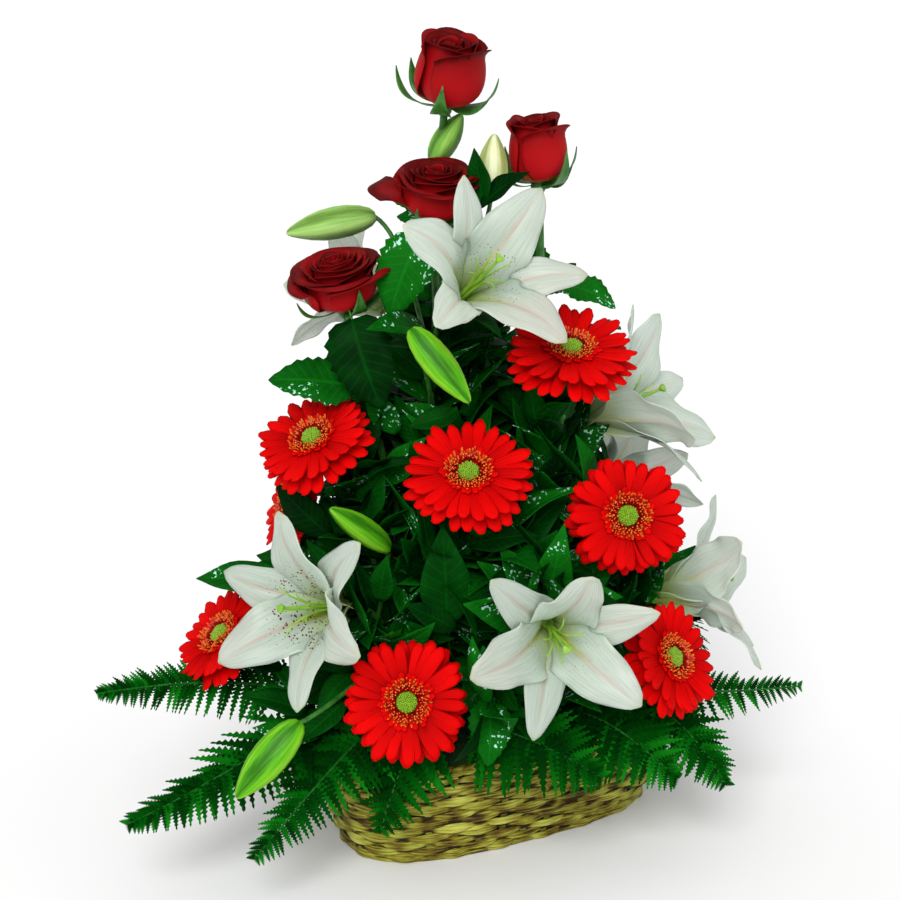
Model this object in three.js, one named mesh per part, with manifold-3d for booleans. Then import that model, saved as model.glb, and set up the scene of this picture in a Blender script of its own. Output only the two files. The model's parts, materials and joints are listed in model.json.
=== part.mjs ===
// A tall flower arrangement in a low oval wicker basket: roses at the top, gerberas and lilies down
// the front and sides, lily buds, leafy stems, and fern fronds that skirt the basket's rim.
//
// Units are millimetres, +Z up. The origin is the middle of the basket's foot, where it stands, and
// the basket's long axis is X. The flowers are placed in a frame of their own that is turned about Z:
// "across" runs to the viewer's right, "out" towards the viewer and "up" is Z.

import * as THREE from 'three';
import Module from 'manifold-3d';

const wasm = await Module();
wasm.setup();
const { Manifold, Mesh } = wasm;

// ------------------------------------------------------------------ driving dimensions

const FRONT_TURN = -30; // degrees from the basket's long side to the side that the flowers face
const GAP = 0.3; // between two pieces that touch
const OVAL_POWER = 2.7; // 2 is an ellipse, more is a rounder rectangle

const BASKET = {
  height: 88, rimLength: 170, rimWidth: 90, footLength: 146, footWidth: 66,
  wall: 3.6, floor: 4, stakes: 30, rows: 9, weave: 1.5,
};
const BORDER = { radius: 4.2, strands: 20, bulge: 1.0, sides: 4 };
const LINER = { wall: 1.2, floor: 1.2, below: 6, sides: 20 };
const FOAM = { top: 104, inset: 5, slack: 1, holeGap: 0.5, holeSides: 4, stemFoot: 50, stemExit: 108 };

const GERBERA = {
  rays: 12, hole: 7.5, neckGap: 0.5, discRadius: 13.5, discHeight: 5.5,
  stem: 3.0, calyx: 9.5, below: 15, sides: 7, steps: 3,
};
const LILY = {
  tepal: 104, wide: 22, narrow: 15, hole: 3.2, column: 2.7, style: 66, filament: 54,
  stem: 3.2, sides: 5, steps: 4,
};
const ROSE = { petals: 7, stem: 3.0, receptacle: 6.5, below: 10, sides: 5, steps: 4, petalThickness: 1 };
const BUD_SIDES = 5;
const LEAF_THICKNESS = 1.4;
const GOLDEN_ANGLE = 137.5;

// ------------------------------------------------------------------ small helpers

const point = (x, y, z) => new THREE.Vector3(x, y, z);
const place = (across, out, up) => point(across, -out, up);
const rad = THREE.MathUtils.degToRad;
const { lerp, clamp } = THREE.MathUtils;
const UP = point(0, 0, 1);

// The direction that looks `turn` degrees to the viewer's right of straight out and `tilt` degrees up.
function looking(turn, tilt) {
  const flat = Math.cos(rad(tilt));
  return place(Math.sin(rad(turn)) * flat, Math.cos(rad(turn)) * flat, Math.sin(rad(tilt)));
}

// A seeded random number from -1 to 1 (mulberry32), so that every build gives the same flowers.
function seeded(seed) {
  let state = seed;
  return () => {
    state = (state + 0x6d2b79f5) | 0;
    let t = Math.imul(state ^ (state >>> 15), 1 | state);
    t = (t + Math.imul(t ^ (t >>> 7), 61 | t)) ^ t;
    return ((t ^ (t >>> 14)) >>> 0) / 2147483648 - 1;
  };
}

function middle(points) {
  return points.reduce((sum, p) => sum.add(p), point(0, 0, 0)).divideScalar(points.length);
}

// A closed solid from its points and triangles, turned the right way out.
function solidFrom(points, faces) {
  const vertProperties = new Float32Array(points.flatMap((p) => [p.x, p.y, p.z]));
  const make = (list) =>
    new Manifold(new Mesh({ numProp: 3, vertProperties, triVerts: new Uint32Array(list.flat()) }));
  const made = make(faces);
  return made.volume() > 0 ? made : make(faces.map(([a, b, c]) => [a, c, b]));
}

// The solid through rings of as many points each, with its first and last ring closed.
function loft(rings) {
  const count = rings[0].length;
  const points = rings.flat();
  const faces = [];
  for (let i = 0; i < rings.length - 1; i += 1) {
    for (let j = 0; j < count; j += 1) {
      const a = i * count + j;
      const b = i * count + ((j + 1) % count);
      faces.push([a, b, b + count], [a, b + count, a + count]);
    }
  }
  const last = (rings.length - 1) * count;
  for (let j = 1; j < count - 1; j += 1) faces.push([0, j + 1, j], [last, last + j, last + j + 1]);
  return solidFrom(points, faces);
}

// A ring of points round the Z axis.
function round(radius, z, sides) {
  return Array.from({ length: sides }, (_, j) => {
    const angle = (2 * Math.PI * j) / sides;
    return point(radius * Math.cos(angle), radius * Math.sin(angle), z);
  });
}

// Rings of points round a curve, one for each radius, from its start to its end.
function ringsAlong(curve, radii, sides) {
  const steps = radii.length - 1;
  const frames = curve.computeFrenetFrames(steps, false);
  return radii.map((radius, i) =>
    round(radius, 0, sides).map((p) =>
      curve
        .getPointAt(i / steps)
        .addScaledVector(frames.normals[i], p.x)
        .addScaledVector(frames.binormals[i], p.y)));
}

const tube = (curve, radii, sides) => loft(ringsAlong(curve, radii, sides));

// A thin leaf or petal from rows of points across it. Its inner points are given a thickness, and its
// edge is sharp. A row of one point is a tip. Both faces are split into triangles alike.
function sheet(rows, thickness) {
  const points = [];
  const top = [];
  const under = [];
  rows.forEach((row, i) => {
    const wide = row.length > 1 ? row : rows[i ? i - 1 : 1];
    const along = middle(rows[Math.min(i + 1, rows.length - 1)]).sub(middle(rows[Math.max(i - 1, 0)]));
    top.push([]);
    under.push([]);
    row.forEach((p, j) => {
      if (j === 0 || j === row.length - 1) {
        top[i].push(points.push(p) - 1);
        under[i].push(points.length - 1);
        return;
      }
      const across = wide[j + 1].clone().sub(wide[j - 1]);
      const half = along.clone().cross(across).setLength(thickness / 2);
      top[i].push(points.push(p.clone().add(half)) - 1);
      under[i].push(points.push(p.clone().sub(half)) - 1);
    });
  });
  const faces = [];
  const both = (pick) => {
    faces.push(pick(top));
    const [a, b, c] = pick(under);
    faces.push([a, c, b]);
  };
  for (let i = 0; i < rows.length - 1; i += 1) {
    const here = rows[i].length - 1;
    const next = rows[i + 1].length - 1;
    for (let j = 0; j < Math.max(here, next); j += 1) {
      if (here) both((s) => [s[i][j], s[i][j + 1], s[i + 1][Math.min(j + 1, next)]]);
      if (next) both((s) => [s[i][Math.min(j, here)], s[i + 1][j + 1], s[i + 1][j]]);
    }
  }
  [0, rows.length - 1].filter((i) => rows[i].length > 1).forEach((i) => {
    for (let j = 0; j < rows[i].length - 1; j += 1) {
      const corner = [top[i][j], top[i][j + 1], under[i][j + 1], under[i][j]];
      const ends = i ? corner.reverse() : corner;
      [[ends[0], ends[2], ends[1]], [ends[0], ends[3], ends[2]]]
        .filter((face) => new Set(face).size === 3)
        .forEach((face) => faces.push(face));
    }
  });
  return solidFrom(points, faces);
}

// A leaf or petal that leaves `root` along `along`, with its upper side towards `face`. It is bent
// from `lift` to `lift + bend` degrees towards that side, and `widths` are its half-widths.
function blade({ root, along, face, length, widths, lift = 0, bend = 0, fold = 0, wave = 0, thickness }) {
  const forward = along.clone().normalize();
  const side = forward.clone().cross(face).normalize();
  const up = side.clone().cross(forward).normalize();
  const steps = widths.length - 1;
  const centre = root.clone();
  const rows = widths.map((half, i) => {
    const angle = rad(lift + (bend * i) / steps);
    const heading = forward.clone().multiplyScalar(Math.cos(angle)).addScaledVector(up, Math.sin(angle));
    const normal = side.clone().cross(heading);
    if (i) centre.addScaledVector(heading, length / steps);
    if (!half) return [centre.clone()];
    return [-1, 0, 1].map((c) =>
      centre
        .clone()
        .addScaledVector(side, half * c)
        .addScaledVector(normal, Math.abs(c) * half * fold + c * wave * (i % 2 ? half : -half)));
  });
  return sheet(rows, thickness ?? LEAF_THICKNESS);
}

// One body: the largest piece of the union. A sealed hollow or a loose scrap is dropped.
function fuse(solids) {
  return Manifold.union(solids)
    .decompose()
    .reduce((best, s) => (s.volume() > best.volume() ? s : best))
    .simplify(0.05);
}

// Moves a solid that was built round the Z axis to `at`, with that axis along `axis`.
function seat(solid, at, axis, roll = 0) {
  const turned = new THREE.Quaternion()
    .setFromUnitVectors(UP, axis.clone().normalize())
    .multiply(new THREE.Quaternion().setFromAxisAngle(UP, rad(roll)));
  return solid.transform(new THREE.Matrix4().compose(at, turned, point(1, 1, 1)).elements);
}

// ------------------------------------------------------------------ what is placed so far

const placed = new Map();

function isClear(solid, own) {
  const a = solid.boundingBox();
  for (const [name, other] of placed) {
    const b = other.boundingBox();
    const near = [0, 1, 2].every((k) => a.min[k] < b.max[k] + GAP && b.min[k] < a.max[k] + GAP);
    if (near && name !== own && solid.minGap(other, 2 * GAP) < GAP) return false;
  }
  return true;
}

// What `build` makes of the first variant whose solid is clear of all that is placed, or nothing.
function firstClear(variants, build, own) {
  for (const variant of variants) {
    const built = build(variant);
    if (isClear(built.solid ?? built, own)) return built;
  }
  return undefined;
}

// ------------------------------------------------------------------ basket, liner and foam

function ovalRing(halfLength, halfWidth, z, sides, swell = () => 0) {
  return Array.from({ length: sides }, (_, j) => {
    const angle = (2 * Math.PI * j) / sides;
    const c = Math.cos(angle);
    const s = Math.sin(angle);
    const reach = (Math.abs(c) ** OVAL_POWER + Math.abs(s) ** OVAL_POWER) ** (-1 / OVAL_POWER);
    const p = point(halfLength * c * reach, halfWidth * s * reach, z);
    const outward = point(c * reach / halfLength, s * reach / halfWidth, 0).normalize();
    return p.addScaledVector(outward, swell(j));
  });
}

// Half-sizes of the basket's outside at a height: it flares quickly off its foot, then slowly.
function basketAt(z) {
  const share = clamp(z / BASKET.height, 0, 1) ** 0.7;
  return [
    lerp(BASKET.footLength, BASKET.rimLength, share),
    lerp(BASKET.footWidth, BASKET.rimWidth, share),
  ];
}

function ovalAt(z, inset, sides, swell) {
  const [halfLength, halfWidth] = basketAt(z);
  return ovalRing(halfLength - inset, halfWidth - inset, z, sides, swell);
}

// The woven wall and floor. Each row of weavers goes in front of one stake and behind the next.
function basketWeave() {
  const { height, wall, floor, stakes, rows, weave } = BASKET;
  const outside = Array.from({ length: rows + 1 }, (_, i) => {
    const inFront = (j) => (i % rows ? ((i + j) % 2 ? weave : -weave) : 0);
    return ovalAt((height * i) / rows, 0, stakes, inFront);
  });
  const inside = [height, floor].map((z) => ovalAt(z, wall, stakes));
  return loft([...outside, ...inside]);
}

// The plaited border: one thick rope of strands, laid round the rim.
function basketBorder() {
  const { radius, strands, bulge, sides } = BORDER;
  const count = strands * 2;
  const [halfLength, halfWidth] = basketAt(BASKET.height);
  const line = ovalRing(halfLength - BASKET.wall / 2, halfWidth - BASKET.wall / 2, 0, count);
  const z = BASKET.height + (radius + bulge) * Math.SQRT1_2 + GAP;
  const points = line.flatMap((p, i) => {
    const next = line[(i + 1) % count];
    const last = line[(i + count - 1) % count];
    const outward = next.clone().sub(last).cross(UP).normalize();
    const thick = radius + (i % 2 ? bulge : -bulge);
    return Array.from({ length: sides }, (_, j) => {
      const angle = (2 * Math.PI * j) / sides + Math.PI / 4;
      return point(p.x, p.y, z)
        .addScaledVector(outward, thick * Math.cos(angle))
        .addScaledVector(UP, thick * Math.sin(angle));
    });
  });
  const faces = [];
  for (let i = 0; i < count; i += 1) {
    for (let j = 0; j < sides; j += 1) {
      const a = i * sides + j;
      const b = i * sides + ((j + 1) % sides);
      const c = ((i + 1) % count) * sides + j;
      const d = ((i + 1) % count) * sides + ((j + 1) % sides);
      faces.push([a, b, d], [a, d, c]);
    }
  }
  return solidFrom(points, faces);
}

// The plastic liner that keeps the water in.
function linerTray() {
  const { wall, floor, below, sides } = LINER;
  const inset = BASKET.wall + BASKET.weave + GAP;
  const low = BASKET.floor + GAP;
  const high = BASKET.height - below;
  return loft([
    ovalAt(low, inset, sides),
    ovalAt(high, inset, sides),
    ovalAt(high, inset + wall, sides),
    ovalAt(low + floor, inset + wall, sides),
  ]);
}

// The block of wet foam that the stems stand in, rounded off above the rim.
function foamBlock() {
  const { top, inset, slack } = FOAM;
  const clear = BASKET.wall + BASKET.weave + LINER.wall + 2 * GAP + slack;
  const low = BASKET.floor + LINER.floor + 2 * GAP;
  return loft([
    ovalAt(low, clear, LINER.sides),
    ovalAt(BASKET.height - LINER.below, clear, LINER.sides),
    ovalAt(BASKET.height, clear + inset, LINER.sides),
    ovalAt(top, clear + 4 * inset, LINER.sides),
  ]);
}

// ------------------------------------------------------------------ stems

const holes = []; // what is bored out of the foam

// How a stem is moved where another piece is in its way: [across, out] at its foot, and the share of
// its length over which it comes up to its head.
const DETOURS = [0.35, 0.22, 0.48, 0.12, 0.6].flatMap((reach) =>
  [0, 8, -8, 16, -16].flatMap((across) =>
    [0, 8, -8, 16, -16].map((out) => ({ across, out, reach }))));

// A stem's line: straight from its foot through the foam, then in a curve to the back of a head that
// looks along `axis`.
function stemLine({ foot, head, axis, upright = 0.4 }, { across, out, reach }) {
  const start = place(foot[0] + across, foot[1] + out, FOAM.stemFoot);
  const fan = head.clone().sub(start).normalize().lerp(UP, upright).normalize();
  const exit = start.clone().addScaledVector(fan, (FOAM.stemExit - FOAM.stemFoot) / fan.z);
  const length = head.distanceTo(exit);
  const curve = new THREE.CubicBezierCurve3(
    exit,
    exit.clone().addScaledVector(fan, length * 0.35),
    head.clone().addScaledVector(axis, -length * reach),
    head,
  );
  return { start, exit, fan, curve };
}

// The rings of a stem, from its foot to the end of its curve.
function stemRings({ start, exit, curve }, radii, sides) {
  const rings = ringsAlong(curve, radii, sides);
  const drop = start.clone().sub(exit);
  return [rings[0].map((p) => p.clone().add(drop)), ...rings];
}

// Bores the foam for a stem, with a plain hole a little wider than it.
function bore({ start, exit, fan }, radius) {
  const line = new THREE.LineCurve3(start.clone().sub(fan), exit.clone().add(fan));
  const wide = (radius + FOAM.holeGap) / Math.cos(Math.PI / FOAM.holeSides);
  holes.push(tube(line, [wide, wide], FOAM.holeSides));
}

// ------------------------------------------------------------------ gerberas

// Two layers of rays round an open hub, as one body. Each ray is a leaf shape with a raised rib, and
// each layer is cut between its rays down to a ring of notches.
function gerberaRays(radius, random) {
  const { rays, hole } = GERBERA;
  const step = (2 * Math.PI) / rays;
  const points = [];
  const faces = [];
  const add = (r, angle, z) => points.push(point(r * Math.cos(angle), r * Math.sin(angle), z)) - 1;
  const hubRing = (r, z) => Array.from({ length: rays }, (_, i) => add(r, i * step, z));
  const crown = hubRing(hole, 1.2);
  const waist = hubRing(hole + 3.5, -0.8);
  const hem = hubRing(hole, -2.8);
  const layer = (above, below, { shift, reach, lift, droop, blunt }) => {
    const notch = Array.from({ length: rays }, (_, i) => add(0.46 * radius, (i + shift) * step, lift));
    for (let i = 0; i < rays; i += 1) {
      const k = (i + 1) % rays;
      const angle = (i + 0.5 + shift + 0.07 * random()) * step;
      const long = reach * radius * (1 + 0.05 * random());
      const half = 0.46 * step;
      const tipZ = droop + 1.5 * random();
      const shoulders = [-half, half].map((side) => add(0.84 * long, angle + side, lift + droop / 2));
      const tip = blunt ? [] : [add(long, angle, tipZ)];
      const edge = [notch[i], shoulders[0], ...tip, shoulders[1], notch[k]];
      [[above, 1], [below, -1]].forEach(([ring, way]) => {
        const rib = add(0.66 * long, angle, lift + 1.2 + 0.7 * way);
        const rim = [ring[i], ...edge, ring[k]];
        rim.forEach((corner, n) => {
          const next = rim[(n + 1) % rim.length];
          faces.push(way > 0 ? [rib, corner, next] : [rib, next, corner]);
        });
      });
    }
  };
  layer(crown, waist, { shift: 0, reach: 0.95, lift: 2.2, droop: -1 });
  layer(waist, hem, { shift: 0.5, reach: 1.06, lift: -2.4, droop: -4, blunt: true });
  for (let i = 0; i < rays; i += 1) {
    const k = (i + 1) % rays;
    faces.push([crown[i], crown[k], hem[k]], [crown[i], hem[k], hem[i]]);
  }
  return solidFrom(points, faces);
}

// The stem, the cup of bracts, the neck through the rays and the disc with its ring of florets.
function gerberaStem(line, at, axis) {
  const { stem, sides, steps, hole, neckGap, discRadius, discHeight, calyx } = GERBERA;
  const neck = hole - neckGap;
  const profile = [
    [calyx, -7.5], [neck, -3.4], [neck, 2.4], [discRadius, 3.6], [discRadius + 1, discHeight + 1],
    [discRadius - 4.5, discHeight - 1.5], [discRadius - 8, discHeight],
  ];
  const stalk = stemRings(line, Array.from({ length: steps + 1 }, () => stem), sides);
  const last = stalk.at(-1);
  const rings = profile.map(([r, z], i) =>
    last.map((p, j) =>
      p.clone().sub(middle(last)).projectOnPlane(axis).setLength(r).add(at)
        .addScaledVector(axis, i === 4 && j % 2 ? z - 1.6 : z)));
  return loft([...stalk, ...rings]);
}

// ------------------------------------------------------------------ lilies

const TEPAL_SHAPE = [0.22, 0.85, 1, 0];

// Six tepals that flare out of a short tube, three broad ones in front of three narrow ones.
function lilyTepals(size, random) {
  const tepals = Array.from({ length: 6 }, (_, i) => {
    const broad = i % 2 === 0;
    const turn = rad(60 * i);
    const outward = point(Math.cos(turn), Math.sin(turn), 0);
    return blade({
      root: outward.clone().multiplyScalar(3).setZ(broad ? 3 : 1),
      along: UP.clone().addScaledVector(outward, broad ? 0.5 : 0.62),
      face: outward.clone().negate(),
      length: LILY.tepal * size * (broad ? 1 : 0.97) * (1 + 0.04 * random()),
      widths: TEPAL_SHAPE.map((w) => w * size * (broad ? LILY.wide : LILY.narrow)),
      lift: -8,
      bend: (broad ? -58 : -65) + 8 * random(),
      fold: 0.22,
      wave: 0.1 * random(),
      thickness: 1.5,
    });
  });
  const cup = loft([[4.6, -2], [6.6, 3], [7.5, 10]].map(([r, z]) => round(r, z, 6)));
  const hole = loft([round(LILY.hole, -6, 6), round(LILY.hole, 14, 6)]);
  return fuse([Manifold.union([cup, ...tepals]).subtract(hole)]);
}

// The green heart of a lily: a column that becomes the style, with six filaments round it.
function lilyHeart(size) {
  const { column, style, filament } = LILY;
  const spine = [
    [column, -4], [column, 12], [1.3, style * size - 4], [3.2, style * size - 1], [1.6, style * size + 1],
  ];
  const needles = Array.from({ length: 6 }, (_, i) => {
    const turn = rad(60 * i + 30);
    const outward = point(Math.cos(turn), Math.sin(turn), 0);
    const root = point(0, 0, 11);
    const tip = outward.clone().multiplyScalar(filament * size * 0.42).setZ(filament * size);
    return tube(new THREE.LineCurve3(root, tip), [1.5, 0.8], 3);
  });
  return Manifold.union([loft(spine.map(([r, z]) => round(r, z, 6))), ...needles]);
}

// A lily bud on its stalk: a ridged spindle, blunt where it joins the stalk.
function lilyBud({ from, bend, base, tip, width }) {
  const stalk = ringsAlong(new THREE.QuadraticBezierCurve3(from, bend, base), [2, 1.9, 2], BUD_SIDES);
  const heading = tip.clone().sub(base);
  const shape = [[0.05, 0.55], [0.28, 0.95], [0.6, 0.95], [0.9, 0.42], [1, 0.12]];
  const last = stalk.at(-1);
  const rings = shape.map(([share, w]) =>
    last.map((p) =>
      p.clone().sub(middle(last)).projectOnPlane(heading).setLength((w * width) / 2)
        .add(base).addScaledVector(heading, share)));
  return loft([...stalk, ...rings]);
}

// ------------------------------------------------------------------ roses

// The bloom: a closed heart and petals in a spiral, each wrapped part of the way round it. `open`
// runs from 0, a bud, to 1, full blown.
function roseBloom(width, height, open, random) {
  const radius = width / 2;
  const heart = loft([
    round(4, 0.3, 5), round(0.52 * radius, 0.12 * height, 5), round(0.38 * radius, 0.5 * height, 5),
    round(0.1 * radius, 0.88 * height, 5),
  ]);
  const petals = Array.from({ length: ROSE.petals }, (_, i) => {
    const share = i / (ROSE.petals - 1);
    const turn = i * GOLDEN_ANGLE + 8 * random();
    const belly = lerp(0.46, 0.88, share) * radius;
    const mouth = lerp(0.28, 0.62 + 0.38 * open, share) * radius;
    const high = height * lerp(1, 1 - 0.36 * open, share) * (1 + 0.03 * random());
    const span = lerp(64, 50, share);
    const outline = [
      { up: 0.06, out: 0.5 * belly, wide: 0.6 },
      { up: 0.42, out: belly, wide: 0.95 },
      { up: 1 - 0.07 * share, out: mouth * (1 + 0.16 * open * share), wide: 0.66 },
    ];
    const rows = outline.map(({ up, out, wide }) =>
      [-1, -0.36, 0.36, 1].map((c) => {
        const angle = rad(turn + span * wide * c);
        const z = high * up * (1 - 0.1 * c * c);
        const r = Math.max(out, 3) * (1 + 0.03 * Math.abs(c));
        return point(r * Math.cos(angle), r * Math.sin(angle), Math.max(z, 1.1 + 0.1 * i));
      }));
    return sheet(rows, ROSE.petalThickness);
  });
  return fuse([heart, ...petals]);
}

// The cup under the bloom, with five sepals that curve outwards beneath it.
function roseSepals(height) {
  const cup = loft([round(ROSE.stem, -11, 5), round(ROSE.receptacle, -5, 5), round(ROSE.receptacle, 0, 5)]);
  const sepals = Array.from({ length: 5 }, (_, i) => {
    const turn = rad(72 * i + 10);
    const outward = point(Math.cos(turn), Math.sin(turn), 0);
    return blade({
      root: outward.clone().multiplyScalar(ROSE.receptacle - 2.5).setZ(-3.6),
      along: outward,
      face: UP,
      length: height * 0.55,
      widths: [3, 3.6, 0],
      lift: i % 2 ? -18 : -30,
      bend: i % 2 ? 34 : 26,
    });
  });
  return Manifold.union([cup, ...sepals]);
}

// ------------------------------------------------------------------ leaves and fronds

const OVATE = [0.15, 1, 0.8, 0];
const TOOTHED = [0.12, 0.9, 0.76, 0.95, 0.6, 0];
const ASIDE = [0, 25, -25, 50, -50, 75, -75];

// Leaves up a stem, one after another round it. A leaf that would touch another piece is turned aside,
// and left out where that doesn't clear it.
function leavesOn(curve, { count, from, to, length, width, turn = 0, out = 58 }) {
  return Array.from({ length: count }, (_, i) => {
    const share = lerp(from, to, i / (count - 1));
    const root = curve.getPointAt(share);
    const tangent = curve.getTangentAt(share);
    const spoke = point(1, 0, 0).projectOnPlane(tangent).normalize();
    const size = lerp(1, 0.75, i / count);
    return firstClear(ASIDE, (aside) => {
      const outward = spoke.clone().applyAxisAngle(tangent, rad(turn + i * GOLDEN_ANGLE + aside));
      const opening = rad(lerp(out, 20, i / count));
      return blade({
        root,
        along: tangent.clone().multiplyScalar(Math.cos(opening)).addScaledVector(outward, Math.sin(opening)),
        face: tangent.clone().addScaledVector(outward, -0.6),
        length: length * size,
        widths: OVATE.map((w) => (w * width * size) / 2),
        bend: -40,
        fold: 0.25,
      });
    });
  }).filter(Boolean);
}

// A toothed leaf placed by hand, from its root to its tip, with a thin stalk to the nearest part of
// the stem. It is turned aside or shortened where another piece is in its way.
function leafBetween(curve, { root, tip, look, width }) {
  const from = place(...root);
  const span = place(...tip).sub(from);
  const nearest = Array.from({ length: 41 }, (_, i) => curve.getPointAt(i / 40))
    .reduce((best, p) => (p.distanceTo(from) < best.distanceTo(from) ? p : best));
  const variants = [[0, 1], [12, 1], [-12, 1], [0, 0.8], [24, 0.9], [-24, 0.9], [0, 0.6]];
  return firstClear(variants, ([aside, size]) => {
    const face = looking(...look);
    const along = span.clone().applyAxisAngle(face, rad(aside));
    const leaf = blade({
      root: from,
      along,
      face,
      length: along.length() * size,
      widths: TOOTHED.map((w) => (w * width * size) / 2),
      lift: 12,
      bend: -25,
      fold: 0.12,
    });
    const inLeaf = from.clone().addScaledVector(along.normalize(), 4);
    return Manifold.union([leaf, tube(new THREE.LineCurve3(nearest, inLeaf), [1.3, 1.1], 3)]);
  });
}

// How a frond arches, higher or narrower, where another piece is in its way.
const ARCHES = [1, 0.8, 0.6].flatMap((narrow) =>
  [0, 14, -14, 28, -28, 42, -42, 56].flatMap((raise) =>
    [0, 14, -14].map((aside) => ({ narrow, raise, aside }))));

// A fern frond: a straight stalk through the foam and an arching rib with pairs of leaflets that get
// shorter towards the tip.
function frond({ foot, rise, crest, tip, face, width, pairs, start = 0.3 }, { narrow, raise, aside }) {
  const up = looking(...face);
  const high = place(crest[0] + aside, crest[1], crest[2] + raise);
  const root = place(foot[0] + aside / 3, foot[1], FOAM.stemFoot);
  const exit = place(rise[0] + aside / 3, rise[1], FOAM.stemExit);
  const fan = exit.clone().sub(root).normalize();
  const curve = new THREE.CubicBezierCurve3(
    exit, exit.clone().addScaledVector(fan, 0.5 * exit.distanceTo(high)), high, place(...tip));
  const rows = Array.from({ length: 2 * pairs + 1 }, (_, i) => {
    const share = lerp(start, 1, i / (2 * pairs));
    const rib = curve.getPointAt(share);
    if (i === 2 * pairs) return [rib];
    const tangent = curve.getTangentAt(share);
    const side = up.clone().cross(tangent).normalize();
    const done = i / (2 * pairs);
    const long = (width / 2) * narrow * Math.sin(Math.PI * (0.22 + 0.78 * done)) ** 0.7;
    const reach = i % 2 ? long : Math.min(3, 0.2 * long);
    return [-1, 0, 1].map((way) =>
      rib.clone()
        .addScaledVector(side, way * reach)
        .addScaledVector(tangent, Math.abs(way) * (i % 2 ? 0.32 * long : 0))
        .addScaledVector(up, Math.abs(way) * (i % 2 ? -0.14 * long : 0)));
  });
  const stalkSteps = 3;
  const stalk = Array.from({ length: stalkSteps + 1 }, (_, i) => {
    const share = ((start + 0.03) * i) / stalkSteps;
    const turned = new THREE.Quaternion().setFromUnitVectors(UP, curve.getTangentAt(share));
    return round(lerp(2, 1.6, i / stalkSteps), 0, 4)
      .map((p) => p.applyQuaternion(turned).add(curve.getPointAt(share)));
  });
  const inFoam = stalk[0].map((p) => p.clone().add(root).sub(exit));
  return { line: { start: root, exit, fan }, solid: fuse([sheet(rows, 1.8), loft([inFoam, ...stalk])]) };
}

// ------------------------------------------------------------------ materials

const skin = (color, roughness) => new THREE.MeshStandardMaterial({ color, roughness, metalness: 0 });
const MATERIALS = {
  wicker: skin('#a8924f', 0.75),
  liner: skin('#20352a', 0.4),
  foam: skin('#2f5a2c', 0.95),
  rose: skin('#a3100f', 0.55),
  gerbera: skin('#d40b08', 0.6),
  lily: skin('#dfe8dc', 0.5),
  stem: skin('#3f7a2a', 0.55),
  lilyGreen: skin('#5f9a2e', 0.5),
  leaf: skin('#0f4a17', 0.35),
  fern: skin('#12591f', 0.55),
};

// ------------------------------------------------------------------ the design of the arrangement

// at is [across, out, up], look is [turn, tilt], and foot is [across, out] where a stem stands.
const GERBERAS = [
  { name: 'gerbera_top_right', at: [62, 84, 449], look: [10, 61], diameter: 104, foot: [24, 24] },
  { name: 'gerbera_upper_left', at: [-153, 90, 378], look: [-40, 54], diameter: 104, foot: [-62, 22] },
  { name: 'gerbera_centre', at: [-25, 135, 362], look: [-3, 52], diameter: 108, foot: [-8, 46] },
  { name: 'gerbera_right', at: [106, 105, 316], look: [8, 24], diameter: 104, foot: [44, 22] },
  { name: 'gerbera_lower_left', at: [-233, 88, 205], look: [-60, 45], diameter: 98, foot: [-88, 40] },
  { name: 'gerbera_lower_front', at: [-75, 175, 180], look: [2, 22], diameter: 108, foot: [-28, 58] },
  { name: 'gerbera_lower_right', at: [146, 110, 193], look: [50, 31], diameter: 102, foot: [66, 0] },
  { name: 'gerbera_behind_left', at: [-178, 20, 298], look: [-75, 8], diameter: 96, foot: [-76, 2] },
];

const ROSES = [
  {
    name: 'rose_top', at: [-44, -10, 640], look: [20, 72], foot: [-14, -30],
    width: 62, height: 52, open: 0.35, leaves: [],
  },
  {
    name: 'rose_right', at: [36, -10, 574], look: [-50, 72], foot: [14, -20],
    width: 52, height: 51, open: 0.2,
    leaves: [{ root: [54, 14, 490], tip: [100, 34, 478], look: [20, 60], width: 34 }],
  },
  {
    name: 'rose_upper', at: [-60, 16, 554], look: [-20, 80], foot: [-30, 12],
    width: 66, height: 40, open: 0.9,
    leaves: [{ root: [-74, 44, 526], tip: [-98, 66, 470], look: [-10, 30], width: 40 }],
  },
  {
    name: 'rose_left', at: [-128, 45, 480], look: [-40, 72], foot: [-48, 6],
    width: 70, height: 42, open: 1, leaves: [
      { root: [-100, 66, 446], tip: [-94, 88, 388], look: [-12, 25], width: 56 },
      { root: [-126, 52, 436], tip: [-188, 64, 412], look: [-20, 50], width: 44 },
    ],
  },
];

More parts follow.
